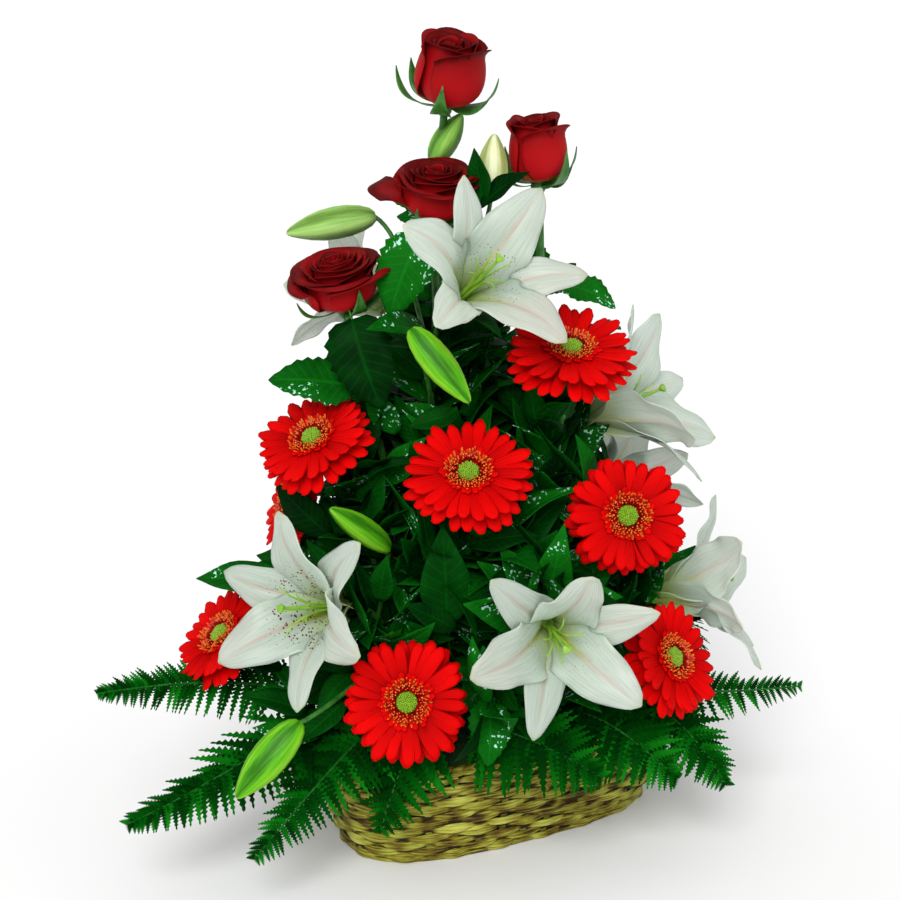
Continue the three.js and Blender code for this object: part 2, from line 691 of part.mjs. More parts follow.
// Buds leave their stem a share `from` of the way up it.
const LILIES = [
  {
    name: 'lily_top', at: [-36, 72, 488], look: [34, 36], size: 0.96, roll: 13, foot: [0, 8],
    buds: [
      { from: 0.78, bend: [-78, -4, 530], base: [-102, -8, 545], tip: [-178, 0, 532], width: 27 },
      { from: 0.84, bend: [-10, 20, 530], base: [-6, 12, 562], tip: [-3, 2, 616], width: 25 },
      { from: 0.66, bend: [-60, 96, 452], base: [-72, 106, 474], tip: [-24, 128, 418], width: 25 },
    ],
  },
  { name: 'lily_right', at: [76, -8, 366], look: [72, 26], size: 0.96, roll: 0, foot: [36, -8] },
  { name: 'lily_lower_right', at: [140, 0, 206], look: [86, 16], size: 0.98, roll: 30, foot: [70, -10] },
  {
    name: 'lily_lower_left', at: [-122, 104, 238], look: [-42, 12], size: 1, roll: 10, foot: [-54, 42],
    buds: [
      { from: 0.72, bend: [-92, 84, 260], base: [-90, 98, 284], tip: [-138, 122, 328], width: 22 },
      { from: 0.5, bend: [-130, 168, 176], base: [-160, 186, 168], tip: [-212, 206, 110], width: 29 },
    ],
  },
  { name: 'lily_lower_front', at: [40, 122, 230], look: [10, 0], size: 1, roll: 12, foot: [14, 46] },
  {
    name: 'lily_back_left', at: [-92, -40, 462], look: [-120, 20], size: 0.86, roll: 0, foot: [-40, -18],
    buds: [{ from: 0.85, bend: [-50, -24, 560], base: [-55, -20, 588], tip: [-30, -16, 630], width: 22 }],
  },
  { name: 'lily_back_right', at: [92, -58, 282], look: [124, 26], size: 0.86, roll: -13, foot: [34, -34] },
];

// A frond is drawn towards its crest and comes down to its tip.
const FRONDS = [
  {
    name: 'frond_left_upper', foot: [-70, 10], rise: [-116, 44], crest: [-210, 108, 140],
    tip: [-329, 152, 180], face: [0, 80], width: 76, pairs: 7,
  },
  {
    name: 'frond_left_lower', foot: [-64, 34], rise: [-106, 64], crest: [-205, 144, 150],
    tip: [-302, 196, 82], face: [-25, 65], width: 104, pairs: 7,
  },
  {
    name: 'frond_left_base', foot: [-50, 46], rise: [-84, 78], crest: [-150, 154, 150],
    tip: [-196, 214, 56], face: [-20, 50], width: 74, pairs: 6,
  },
  {
    name: 'frond_front_left', foot: [-30, 50], rise: [-52, 84], crest: [-88, 140, 140],
    tip: [-96, 180, 66], face: [0, 40], width: 76, pairs: 5,
  },
  {
    name: 'frond_front', foot: [8, 46], rise: [14, 74], crest: [30, 126, 138],
    tip: [80, 154, 92], face: [8, 50], width: 90, pairs: 5,
  },
  {
    name: 'frond_front_right', foot: [40, 24], rise: [58, 48], crest: [96, 106, 136],
    tip: [136, 130, 78], face: [15, 50], width: 80, pairs: 5,
  },
  {
    name: 'frond_right_lower', foot: [44, 18], rise: [82, 38], crest: [146, 78, 130],
    tip: [204, 122, 78], face: [25, 55], width: 92, pairs: 7,
  },
  {
    name: 'frond_right_upper', foot: [52, -10], rise: [110, 12], crest: [184, 26, 122],
    tip: [266, 42, 140], face: [10, 75], width: 64, pairs: 7,
  },
  {
    name: 'frond_back_right', foot: [60, -40], rise: [96, -76], crest: [150, -130, 170],
    tip: [204, -184, 90], face: [150, 55], width: 100, pairs: 6,
  },
  {
    name: 'frond_back', foot: [4, -46], rise: [2, -76], crest: [-10, -150, 180],
    tip: [-20, -206, 80], face: [180, 50], width: 110, pairs: 6,
  },
  {
    name: 'frond_back_left', foot: [-64, -14], rise: [-90, -28], crest: [-160, -100, 170],
    tip: [-236, -156, 90], face: [-150, 55], width: 100, pairs: 6,
  },
];

const SPRAYS = [
  { name: 'greens_front', head: [-6, 96, 296], foot: [2, 30], count: 5, turn: 20 },
  { name: 'greens_left', head: [-122, 60, 330], foot: [-62, 6], count: 5, turn: 60 },
  { name: 'greens_right', head: [44, 52, 388], foot: [26, 4], count: 5, turn: 10 },
  { name: 'greens_back', head: [-16, -104, 430], foot: [-8, -38], count: 7, turn: 0 },
  { name: 'greens_back_right', head: [70, -116, 250], foot: [14, -52], count: 6, turn: 80 },
];
const SPRAY = { length: 70, width: 36, from: 0.3, to: 0.98 };

// ------------------------------------------------------------------ assembly

const solids = new Map();

function add(name, material, solid) {
  solids.set(name, { material, solid });
  placed.set(name, solid);
}

// Adds a stem that `build` makes of its line, by the first detour that is clear, and bores its hole.
function addStem(name, material, route, radius, build, own) {
  const made = (detour) => {
    const line = stemLine(route, detour);
    return { line, solid: build(line) };
  };
  const { line, solid } = firstClear(DETOURS, made, own) ?? made(DETOURS[0]);
  add(name, material, solid);
  bore(line, radius);
  return line;
}

// Joins more to a piece that is placed.
function joinTo(name, extras) {
  const { material, solid } = solids.get(name);
  add(name, material, fuse([solid, ...extras.filter(Boolean)]));
}

// How far a lily is rolled round its axis, and moved along it, where its tepals meet another bloom.
const TURNS = [0, 8, -8, 16].flatMap((forward) =>
  [0, 7, -7, 14, -14, 21, -21, 28, -28].map((aside) => ({ aside, forward })));

// How the bend of a bud's stalk is moved [across, up] where another piece is in its way.
const SIDESTEPS = [[0, 0], [10, 0], [-10, 0], [0, 12], [0, -12], [14, 14], [-14, 14]];

const repeated = (value, count) => Array.from({ length: count }, () => value);

// The basket's own parts are built along X, so they are turned into the flowers' frame while the
// flowers are fitted round them.
const inFlowerFrame = (solid) => solid.rotate([0, 0, -FRONT_TURN]);
add('basket_weave', MATERIALS.wicker, inFlowerFrame(basketWeave()));
add('basket_border', MATERIALS.wicker, inFlowerFrame(basketBorder()));

// Blooms first, then their stems, then what fills the room between them.
GERBERAS.forEach(({ name, at, look, diameter }, i) => {
  const rays = gerberaRays(diameter / 2, seeded(i + 1));
  add(`${name}_rays`, MATERIALS.gerbera, seat(rays, place(...at), looking(...look)));
});
ROSES.forEach(({ name, at, look, width, height, open }, i) => {
  const bloom = roseBloom(width, height, open, seeded(i + 11));
  add(`${name}_bloom`, MATERIALS.rose, seat(bloom, place(...at), looking(...look)));
});
const lilyBlooms = LILIES.map(({ name, at, look, size, roll }, i) => {
  const tepals = lilyTepals(size, seeded(i + 21));
  const made = ({ aside, forward }) => {
    const head = place(...at).addScaledVector(looking(...look), forward);
    return { roll: roll + aside, head, solid: seat(tepals, head, looking(...look), roll + aside) };
  };
  const bloom = firstClear(TURNS, made) ?? made(TURNS[0]);
  add(`${name}_bloom`, MATERIALS.lily, bloom.solid);
  return bloom;
});

GERBERAS.forEach(({ name, at, look, foot }) => {
  const axis = looking(...look);
  const head = place(...at).addScaledVector(axis, -GERBERA.below);
  addStem(`${name}_stem`, MATERIALS.stem, { foot, head, axis }, GERBERA.stem,
    (line) => gerberaStem(line, place(...at), axis), `${name}_rays`);
});

ROSES.forEach(({ name, at, look, height, foot, leaves }) => {
  const axis = looking(...look);
  const head = place(...at).addScaledVector(axis, -ROSE.below);
  const radii = repeated(ROSE.stem, ROSE.steps + 1);
  const sepals = seat(roseSepals(height), place(...at), axis);
  const line = addStem(`${name}_stem`, MATERIALS.stem, { foot, head, axis }, ROSE.stem,
    (stem) => Manifold.union([loft(stemRings(stem, radii, ROSE.sides)), sepals]), `${name}_bloom`);
  placed.delete(`${name}_stem`);
  joinTo(`${name}_stem`, leaves.map((leaf) => leafBetween(line.curve, leaf)));
});

LILIES.forEach(({ name, look, size, foot, buds = [] }, i) => {
  const axis = looking(...look);
  const { head: flower, roll } = lilyBlooms[i];
  const head = flower.clone().addScaledVector(axis, -3);
  const radii = [...repeated(LILY.stem, LILY.steps), LILY.column];
  const heart = seat(lilyHeart(size), flower, axis, roll);
  const line = addStem(`${name}_stem`, MATERIALS.lilyGreen, { foot, head, axis }, LILY.stem,
    (stem) => Manifold.union([loft(stemRings(stem, radii, LILY.sides)), heart]), `${name}_bloom`);
  placed.delete(`${name}_stem`);
  joinTo(`${name}_stem`, buds.map(({ from, bend, base, tip, width }) =>
    firstClear(SIDESTEPS, ([across, up]) => lilyBud({
      from: line.curve.getPointAt(from),
      bend: place(bend[0] + across, bend[1], bend[2] + up),
      base: place(...base),
      tip: place(...tip),
      width,
    }))));
});

SPRAYS.forEach(({ name, head, foot, count, turn }) => {
  const top = place(...head);
  const axis = top.clone().sub(place(...foot, FOAM.stemExit)).normalize();
  const line = addStem(name, MATERIALS.leaf, { foot, head: top, axis }, 2.2,
    (stem) => loft(stemRings(stem, [2.2, 2, 1.8, 1.5], 4)));
  placed.delete(name);
  joinTo(name, leavesOn(line.curve, { ...SPRAY, count, turn }));
});

FRONDS.forEach((spec) => {
  const { line, solid } = firstClear(ARCHES, (arch) => frond(spec, arch)) ?? frond(spec, ARCHES[0]);
  add(spec.name, MATERIALS.fern, solid);
  bore(line, 2);
});

add('liner', MATERIALS.liner, inFlowerFrame(linerTray()));
add('floral_foam', MATERIALS.foam, fuse([inFlowerFrame(foamBlock()).subtract(Manifold.union(holes))]));

// ------------------------------------------------------------------ scene graph

function geometryOf(solid) {
  const mesh = solid.getMesh();
  return new THREE.BufferGeometry()
    .setAttribute('position', new THREE.BufferAttribute(new Float32Array(mesh.vertProperties), 3))
    .setIndex(new THREE.BufferAttribute(new Uint32Array(mesh.triVerts), 1));
}

const arrangement = new THREE.Group();
const flowers = new THREE.Group();
flowers.rotation.z = rad(FRONT_TURN);
arrangement.add(flowers);
for (const [name, { material, solid }] of solids) {
  const mesh = new THREE.Mesh(geometryOf(solid), material);
  mesh.name = name;
  flowers.add(mesh);
}

export default arrangement;
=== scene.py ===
import bisect
import itertools
import json
import math
import random

import bpy
from mathutils import Matrix, Quaternion, Vector
from mathutils.bvhtree import BVHTree

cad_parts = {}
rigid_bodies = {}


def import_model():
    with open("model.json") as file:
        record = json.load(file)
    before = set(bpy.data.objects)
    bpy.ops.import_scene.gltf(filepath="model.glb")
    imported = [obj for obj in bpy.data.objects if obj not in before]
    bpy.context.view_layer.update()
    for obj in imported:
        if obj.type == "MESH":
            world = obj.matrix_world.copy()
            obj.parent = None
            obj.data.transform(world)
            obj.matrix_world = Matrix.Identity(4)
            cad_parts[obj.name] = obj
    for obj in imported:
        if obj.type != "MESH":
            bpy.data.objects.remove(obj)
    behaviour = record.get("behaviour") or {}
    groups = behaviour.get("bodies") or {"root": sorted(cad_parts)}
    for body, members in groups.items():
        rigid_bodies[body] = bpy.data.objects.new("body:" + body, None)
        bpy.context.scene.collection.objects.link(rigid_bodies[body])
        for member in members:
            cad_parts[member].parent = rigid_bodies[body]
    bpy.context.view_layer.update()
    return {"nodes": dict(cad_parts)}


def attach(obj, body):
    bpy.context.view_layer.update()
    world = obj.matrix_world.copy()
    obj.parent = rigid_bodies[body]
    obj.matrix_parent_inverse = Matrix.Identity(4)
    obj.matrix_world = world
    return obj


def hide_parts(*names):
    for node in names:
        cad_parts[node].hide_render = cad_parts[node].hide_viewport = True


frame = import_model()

# ---------------------------------------------------------------- the woven wall and foot of the basket
# A low oval basket of flat split willow. Each weaver goes in front of one stake and behind the next,
# and the row above it does the opposite; the foot is a flat plaited oval.

UP = Vector((0, 0, 1))
BASKET_HEIGHT = 0.088
RIM_HALF, FOOT_HALF = (0.170, 0.090), (0.146, 0.066)
OVAL_POWER = 2.7
STAKES, STAKE_INSET, STAKE_FOOT, STAKE_LONG = 34, 0.0040, 0.003, 0.083
WEAVER_ROWS, WEAVER_INSET, WEAVER_DRIFT = 12, 0.0018, 0.0017
FIRST_ROW, ROW_HEIGHT, STAKE_POINTS = 0.0050, 0.0071, 6
FOOT_SPACING, FOOT_LEVEL, FOOT_MARGIN, EDGE_INSET = 0.0096, 0.0021, 0.004, 0.0026
# A strip swings to either side of its path, and is broader by its pinch where it swings outwards.
WEAVER = {"Width": 0.0064, "Thickness": 0.0014, "Swing": 0.0013, "Pinch": 0.29}
STAKE = {"Width": 0.0060, "Thickness": 0.0012}
FOOT_STRIP = {"Width": 0.0088, "Thickness": 0.0011, "Swing": 0.0008, "Pinch": 0.08}
FOOT_EDGE = {"Width": 0.0046, "Thickness": 0.0042}


class Value:
    """An output in a node tree. Sums, differences and products of values are Math nodes."""

    def __init__(self, tree, socket):
        self.tree, self.socket = tree, socket

    def other(self, name):
        """Another output of the same node."""
        return Value(self.tree, self.socket.node.outputs[name])

    def math(self, operation, *others, kind="Math"):
        return self.tree.add(f"ShaderNode{kind}", self, *others, operation=operation)

    def __add__(self, other):
        return self.math("ADD", other)

    def __sub__(self, other):
        return self.math("SUBTRACT", other)

    def __mul__(self, other):
        return self.math("MULTIPLY", other)

    def ranged(self, *ends):
        """This value taken from one range (two ends) to another, and kept within it."""
        return self.tree.add("ShaderNodeMapRange", self, *ends)


class Tree:
    """A shader or geometry tree."""

    def __init__(self, tree):
        self.tree = tree

    def add(self, kind, *first, output=0, at=None, **named):
        """Adds a node and gives one of its outputs. Its inputs come in order, by number in at, or by names with
        a capital letter; names without one are the node's settings."""
        made = self.tree.nodes.new(kind)
        inputs = {**dict(enumerate(first)), **(at or {})}
        for name, value in named.items():
            if name[0].isupper():
                inputs[name.replace("_", " ")] = value
            else:
                setattr(made, name, value)
        for socket, value in inputs.items():
            for source in value if isinstance(value, list) else [value]:
                if isinstance(source, Value):
                    self.tree.links.new(source.socket, made.inputs[socket])
                else:
                    made.inputs[socket].default_value = source
        return Value(self, made.outputs[output]) if made.outputs else None

    def vector(self, *parts):
        return self.add("ShaderNodeCombineXYZ", *parts)


class Recipe(Tree):
    """A geometry tree that takes a mesh, named inputs and a material."""

    def __init__(self, name, floats="", **others):
        super().__init__(bpy.data.node_groups.new(name, "GeometryNodeTree"))
        kinds = {"Geometry": "Geometry", **dict.fromkeys(floats.split(), "Float"), **others, "Material": "Material"}
        for label, kind in kinds.items():
            self.tree.interface.new_socket(label, in_out="INPUT", socket_type="NodeSocket" + kind)
        self.tree.interface.new_socket("Geometry", in_out="OUTPUT", socket_type="NodeSocketGeometry")
        self.group = self.add("NodeGroupInput")

    def __getitem__(self, label):
        return self.group.other(label)

    def attribute(self, name, kind="FLOAT"):
        """What each point carries under a name."""
        return self.add("GeometryNodeInputNamedAttribute", name, data_type=kind)

    def end(self, geometry):
        """Ends the tree: its copies made real and smooth, and their material set."""
        smooth = self.add("GeometryNodeSetShadeSmooth", self.add("GeometryNodeRealizeInstances", geometry))
        self.add("NodeGroupOutput", self.add("GeometryNodeSetMaterial", smooth, Material=self["Material"]))

    def run(self, mesh, **inputs):
        """The plain mesh that the tree makes of a mesh."""
        bench = linked("bench", mesh)
        modifier = bench.modifiers.new("tree", "NODES")
        modifier.node_group = self.tree
        for item in self.tree.interface.items_tree:
            if item.in_out == "INPUT" and item.name in inputs:
                modifier[item.identifier] = inputs[item.name]
        graph = bpy.context.evaluated_depsgraph_get()
        made = bpy.data.meshes.new_from_object(
            bench.evaluated_get(graph), preserve_all_data_layers=True, depsgraph=graph)
        bpy.data.objects.remove(bench)
        return made


class Skin(Tree):
    """A new material. Plain numbers go on its shader's own sockets."""

    def __init__(self, name, roughness=0.5, **sockets):
        self.material = bpy.data.materials.new(name)
        self.material.use_nodes = True
        super().__init__(self.material.node_tree)
        self.shader = self.tree.nodes["Principled BSDF"]
        for label, value in {"Roughness": roughness, **sockets}.items():
            self.shader.inputs[label.replace("_", " ")].default_value = value

    def attribute(self, name):
        """A number that the mesh carries under a name."""
        return self.add("ShaderNodeAttribute", output="Fac", attribute_name=name)

    def place(self):
        """Where a spot of the surface is in the object frame."""
        return self.add("ShaderNodeTexCoord", output="Object")

    def noise(self, scale, detail, *where, **inputs):
        """Noise through the object, or through a space of its own."""
        place = self.vector(*where) if where else self.place()
        return self.add("ShaderNodeTexNoise", Vector=place, Scale=scale, Detail=detail, **inputs)

    def ramp(self, share, *stops):
        """The colour of a ramp of (position, colour) stops."""
        colour = self.add("ShaderNodeValToRGB", share)
        elements = colour.socket.node.color_ramp.elements
        while len(elements) < len(stops):
            elements.new(0.5)
        for element, (position, rgb) in zip(elements, stops):
            element.position, element.color = position, (*rgb, 1)
        return colour

    def painted(self, colour, height=None, strength=0.0, distance=0.0):
        """The material, with a colour and the height that its bumps follow."""
        self.tree.links.new(colour.socket, self.shader.inputs["Base Color"])
        if height:
            raised = self.add("ShaderNodeBump", Height=height, Strength=strength, Distance=distance)
            self.tree.links.new(raised.socket, self.shader.inputs["Normal"])
        return self.material


def linked(name, data):
    """A new object in the scene."""
    made = bpy.data.objects.new(name, data)
    bpy.context.collection.objects.link(made)
    return made


def add_piece(name, meshes, node, pose=None, thickness=0.0, offset=-1):
    """One piece of several meshes at the origin, in place of a CAD node. Thin sheets get a thickness."""
    objects = [linked(name, mesh) for mesh in meshes]
    piece = objects[0]
    if len(objects) > 1:
        with bpy.context.temp_override(active_object=piece, selected_editable_objects=objects):
            bpy.ops.object.join()
    if pose:
        piece.data.transform(pose)
    if thickness:
        shell = piece.modifiers.new("thickness", "SOLIDIFY")
        shell.thickness, shell.offset = thickness, offset
    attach(piece, "root")
    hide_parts(node)


def mix(low, high, share):
    return low + (high - low) * share


def scaled(vector, factor):
    """A tree's vector times a number."""
    return vector.tree.add("ShaderNodeVectorMath", vector, Scale=factor, operation="SCALE")


def store(mesh, name, items, kind="FLOAT"):
    """Gives a mesh a named number or vector for each of its points."""
    data = mesh.attributes.new(name, kind, "POINT").data
    if kind == "FLOAT":
        data.foreach_set("value", items)
    else:
        data.foreach_set("vector", [part for item in items for part in item])


def path_mesh(paths, closed=False):
    """Edges along paths of (point, outward, phase, girth), with how far along and which strand."""
    points, outward, phase, girth = zip(*(row for path in paths for row in path))
    edges, along, strands = [], [], []
    for strand, path in enumerate(paths):
        first = len(along)
        for step, (point, *_) in enumerate(path):
            along.append(along[-1] + (point - path[step - 1][0]).length if step else 0.0)
        strands += [float(strand)] * len(path)
        edges += [(index, index + 1) for index in range(first, len(along) - 1)]
        if closed:
            edges.append((len(along) - 1, first))
    mesh = bpy.data.meshes.new("path")
    mesh.from_pydata(points, edges, [])
    store(mesh, "outward", outward, "FLOAT_VECTOR")
    for name, items in {"phase": phase, "girth": girth, "along": along, "strand": strands}.items():
        store(mesh, name, items)
    return mesh


def oval_point(angle, height, inset=0.0):
    """A point of the basket's outside, drawn in by an inset, and the way out of the basket there."""
    share = max(height / BASKET_HEIGHT, 0.0) ** 0.7
    long, wide = (mix(foot, rim, share) for foot, rim in zip(FOOT_HALF, RIM_HALF))
    x, y = math.cos(angle), math.sin(angle)
    reach = (abs(x) ** OVAL_POWER + abs(y) ** OVAL_POWER) ** (-1 / OVAL_POWER)
    outward = Vector((x * reach / long, y * reach / wide, 0)).normalized()
    return Vector((long * x * reach, wide * y * reach, height)) - outward * inset, outward


def even_angles(count, samples=1440):
    """Angles whose points lie evenly round the oval."""
    angles = [2 * math.pi * index / samples for index in range(samples + 1)]
    points = [oval_point(angle, BASKET_HEIGHT / 2)[0] for angle in angles]
    far = [0.0, *itertools.accumulate((point - last).length for last, point in zip(points, points[1:]))]
    return [angles[bisect.bisect_left(far, far[-1] * step / count, 1) - 1] for step in range(count)]


strip = Recipe("flat strip along a path", "Width Thickness Swing Pinch")
outward = strip.attribute("outward", "FLOAT_VECTOR")
swing = strip.attribute("phase").math("SINE")
curve = strip.add("GeometryNodeMeshToCurve", strip["Geometry"])
moved = strip.add("GeometryNodeSetPosition", curve, Offset=scaled(outward, swing * strip["Swing"]))
faced = strip.add("GeometryNodeSetCurveNormal", moved, Normal=outward, mode="FREE")
outline = strip.add("GeometryNodeCurvePrimitiveQuadrilateral", strip["Thickness"], strip["Width"])
rounded = strip.add(
    "GeometryNodeFilletCurve", Curve=outline, Count=2, Radius=strip["Thickness"] * 0.42, mode="POLY")
girth = strip.attribute("girth") * (swing * strip["Pinch"] + 1.0)
strip.end(strip.add("GeometryNodeCurveToMesh", Curve=faced, Profile_Curve=rounded, Scale=girth, Fill_Caps=True))

skin = Skin("split willow", roughness=0.55, Specular_IOR_Level=0.15)
along, strand = skin.attribute("along"), skin.attribute("strand")
height = skin.add("ShaderNodeSeparateXYZ", skin.place(), output="Z")
fibres = skin.noise(1.0, 4.0, along * 40.0, strand * 3.7, height * 620.0, Roughness=0.65)
patches = skin.noise(1.0, 1.0, along * 34.0, strand * 5.3)
# Where a weaver dips behind a stake its colour is painted darker: painted shade.
dip_painted_shade = skin.attribute("phase").math("SINE").ranged(-1.0, -0.55, -0.16, 0.22)
colour = skin.ramp(fibres * 1.9 - 0.76 + (patches * 1.7 - 0.80) + dip_painted_shade, (0.10, (0.020, 0.012, 0.002)),
                   (0.30, (0.150, 0.095, 0.008)), (0.46, (0.225, 0.215, 0.016)), (0.92, (0.540, 0.540, 0.095)))
willow = skin.painted(colour, fibres, 0.9, 0.0012)

rng = random.Random(5)
wall_angles = even_angles(STAKES * STAKE_POINTS)
weavers = []
for row in range(WEAVER_ROWS):
    wobble = [rng.uniform(-1, 1) for _ in range(STAKES)]
    weavers.append([])
    for step, angle in enumerate(wall_angles):
        share = step / STAKE_POINTS
        drift = mix(wobble[int(share)], wobble[(int(share) + 1) % STAKES], share % 1)
        spot = oval_point(angle, FIRST_ROW + row * ROW_HEIGHT + WEAVER_DRIFT * drift, WEAVER_INSET)
        weavers[-1].append((*spot, math.pi * (share + row + 0.5), 1.0 + 0.22 * drift))
stakes = [
    [(*oval_point(angle, STAKE_FOOT + STAKE_LONG * step / 8, STAKE_INSET), 0.0, 1.0) for step in range(9)]
    for angle in even_angles(STAKES)]
edge = [(*oval_point(angle, EDGE_INSET, EDGE_INSET), 0.0, 1.0) for angle in wall_angles]


def foot_strips(along_x, count):
    """Strips side by side over the foot, each as long as the oval is there."""
    half, other = FOOT_HALF if along_x else FOOT_HALF[::-1]
    paths = []
    for row in range(-count, count + 1):
        off = row * FOOT_SPACING
        if abs(off) < other - FOOT_MARGIN:
            share = abs(off) / (other - FOOT_MARGIN / 2)
            reach = (half - FOOT_MARGIN) * (1 - share ** OVAL_POWER) ** (1 / OVAL_POWER)
            steps = max(4, int(8 * reach / FOOT_SPACING))
            paths.append([])
            for far in (-reach + 2 * reach * step / steps for step in range(steps + 1)):
                spot = Vector((far, off, FOOT_LEVEL) if along_x else (off, far, FOOT_LEVEL))
                phase = math.pi * (far / FOOT_SPACING + row + (0.5 if along_x else 1.5))
                paths[-1].append((spot, UP, phase, 1.0))
    return paths


add_piece("willow_basket", [
    strip.run(path_mesh(weavers, closed=True), Material=willow, **WEAVER),
    strip.run(path_mesh(stakes), Material=willow, **STAKE),
    strip.run(path_mesh(foot_strips(True, 7) + foot_strips(False, 16)), Material=willow, **FOOT_STRIP),
    strip.run(path_mesh([edge], closed=True), Material=willow, **FOOT_EDGE),
], "basket_weave")

# ---------------------------------------------------------------- the plaited border
# The stakes' ends are laid down along the rim and twisted round each other into one thick rope.

BORDER_LEVEL, BORDER_RADIUS = 0.0922, 0.0024
BORDER_STRANDS, BORDER_TWISTS, BORDER_POINTS = 3, 30, 480
BORDER_STRAND = {"Width": 0.0050, "Thickness": 0.0044}
# A weaver's front is the part free of the painted shade of its dips.
FRONT_PHASE = 1.2  # gives a strand the colour of a weaver's front

strands = []
for index in range(BORDER_STRANDS):
    strands.append([])
    for step, angle in enumerate(even_angles(BORDER_POINTS)):
        point, outward = oval_point(angle, BASKET_HEIGHT, WEAVER_INSET)
        twist = 2 * math.pi * (BORDER_TWISTS * step / BORDER_POINTS + index / BORDER_STRANDS)
        swirl = outward * math.cos(twist) + UP * math.sin(twist)
        point.z = BORDER_LEVEL
        strands[-1].append((point + swirl * BORDER_RADIUS, swirl, FRONT_PHASE, 1.0))
border = strip.run(path_mesh(strands, closed=True), Material=willow, **BORDER_STRAND)
add_piece("willow_border", [border], "basket_border")

# ---------------------------------------------------------------- the liner and the floral foam
# A thin dark plastic tray keeps the water in. The block of wet green foam stands in it and holds the
# stems; it is cut flat, and its open cells give it a fine grain.

skin = Skin("liner plastic", roughness=0.35)
grain = skin.noise(90.0, 3.0)
dark = skin.ramp(grain, (0.3, (0.006, 0.016, 0.009)), (0.7, (0.012, 0.03, 0.018)))
plastic = skin.painted(dark, grain, 0.2, 0.0004)

skin = Skin("wet floral foam", roughness=0.9, Specular_IOR_Level=0.2)
damp = skin.ramp(skin.noise(40.0, 4.0), (0.3, (0.008, 0.03, 0.008)), (0.75, (0.03, 0.09, 0.02)))
cells = skin.add("ShaderNodeTexVoronoi", Vector=skin.place(), Scale=900.0)
foam = skin.painted(damp, cells, 0.7, 0.0008)

for name, material in (("liner", plastic), ("floral_foam", foam)):
    for slot in frame["nodes"][name].material_slots:
        slot.material = material

# ---------------------------------------------------------------- the gerberas
# Each is one head on a bare round stalk: two rows of strap-shaped red rays and a ring of short ones,
# then a collar of yellow-tipped florets round a tight green disc, all held in a cup of small bracts.

FLOWERS_TURN = Matrix.Rotation(math.radians(-30), 3, "Z")
STEM_FOOT, STEM_EXIT, STEM_POINTS = 50, 108, 18
# Where a head is, the way it looks, its width, and where its stem stands.
GERBERAS = {
    "gerbera_top_right": ((59, 84, 452), (10, 65), 112, (24, 24)),
    "gerbera_upper_left": ((-153, 90, 378), (-40, 54), 104, (-62, 22)),
    "gerbera_centre": ((-25, 135, 362), (-3, 52), 108, (-8, 46)),
    "gerbera_right": ((106, 105, 316), (8, 24), 104, (44, 22)),
    "gerbera_lower_left": ((-233, 88, 205), (-60, 45), 98, (-88, 40)),
    "gerbera_lower_front": ((-75, 175, 180), (2, 22), 108, (-28, 58)),
    "gerbera_lower_right": ((146, 110, 193), (50, 31), 102, (66, 0)),
    "gerbera_behind_left": ((-178, 18, 302), (-76, 22), 98, (-76, 2)),
}
RAY_ROOT, RAY_THICKNESS = 9, 0.0006
GERBERA_STEM, GERBERA_CUP, GERBERA_NECK = 0.0030, 0.015, 0.010
GOLDEN_ANGLE = math.radians(137.508)


def place(across, out, up):
    """A point from millimetres to the viewer's right, towards the viewer and up."""
    return FLOWERS_TURN @ Vector((across, -out, up)) / 1000


def looking(turn, tilt):
    """The way that is some degrees to the right of straight at the viewer, and some degrees up."""
    turn, tilt = math.radians(turn), math.radians(tilt)
    return FLOWERS_TURN @ Vector(
        (math.sin(turn) * math.cos(tilt), -math.cos(turn) * math.cos(tilt), math.sin(tilt)))


def seated(at, axis, roll=0.0):
    """The matrix that stands a flower, built round Z, at a point and along an axis."""
    return Matrix.LocRotScale(at, UP.rotation_difference(axis) @ Quaternion(UP, math.radians(roll)), None)


def bezier(ends, share):
    rest = 1 - share
    weights = (rest ** 3, 3 * rest ** 2 * share, 3 * rest * share ** 2, share ** 3)
    return sum((end * weight for end, weight in zip(ends, weights)), Vector())


def arch(ends, steps):
    """Points along a curve from its four control points."""
    return [bezier(ends, step / steps) for step in range(steps + 1)]


def stem_line(foot, head, axis):
    """Points up a stem: straight through the foam, then in a curve to the back of its head."""
    start = place(*foot, STEM_FOOT)
    fan = (head - start).normalized().lerp(UP, 0.4).normalized()
    leaves = start + fan * ((STEM_EXIT - STEM_FOOT) / 1000 / fan.z)
    reach = (head - leaves).length * 0.35
    return [start] + arch((leaves, leaves + fan * reach, head - axis * reach, head), STEM_POINTS)


def stalk_mesh(lines, material):
    """Round stalks along lines of (points, radius at the start, radius at the end)."""
    return stalk.run(path_mesh([
        [(point, UP, 0.0, mix(thick, thin, step / (len(points) - 1))) for step, point in enumerate(points)]
        for points, thick, thin in lines]), Material=material)


def filled_mesh(points, faces, spots, material, tones=()):
    """A smooth mesh with a UV spot for each of its points, and a tone if there are tones."""
    mesh = bpy.data.meshes.new("sheet")
    mesh.from_pydata(points, [], faces)
    for loop, entry in zip(mesh.loops, mesh.uv_layers.new(name="UVMap").data):
        entry.uv = spots[loop.vertex_index]
    if tones:
        store(mesh, "tone", tones)
    if material:
        mesh.materials.append(material)
    mesh.shade_smooth()
    return mesh


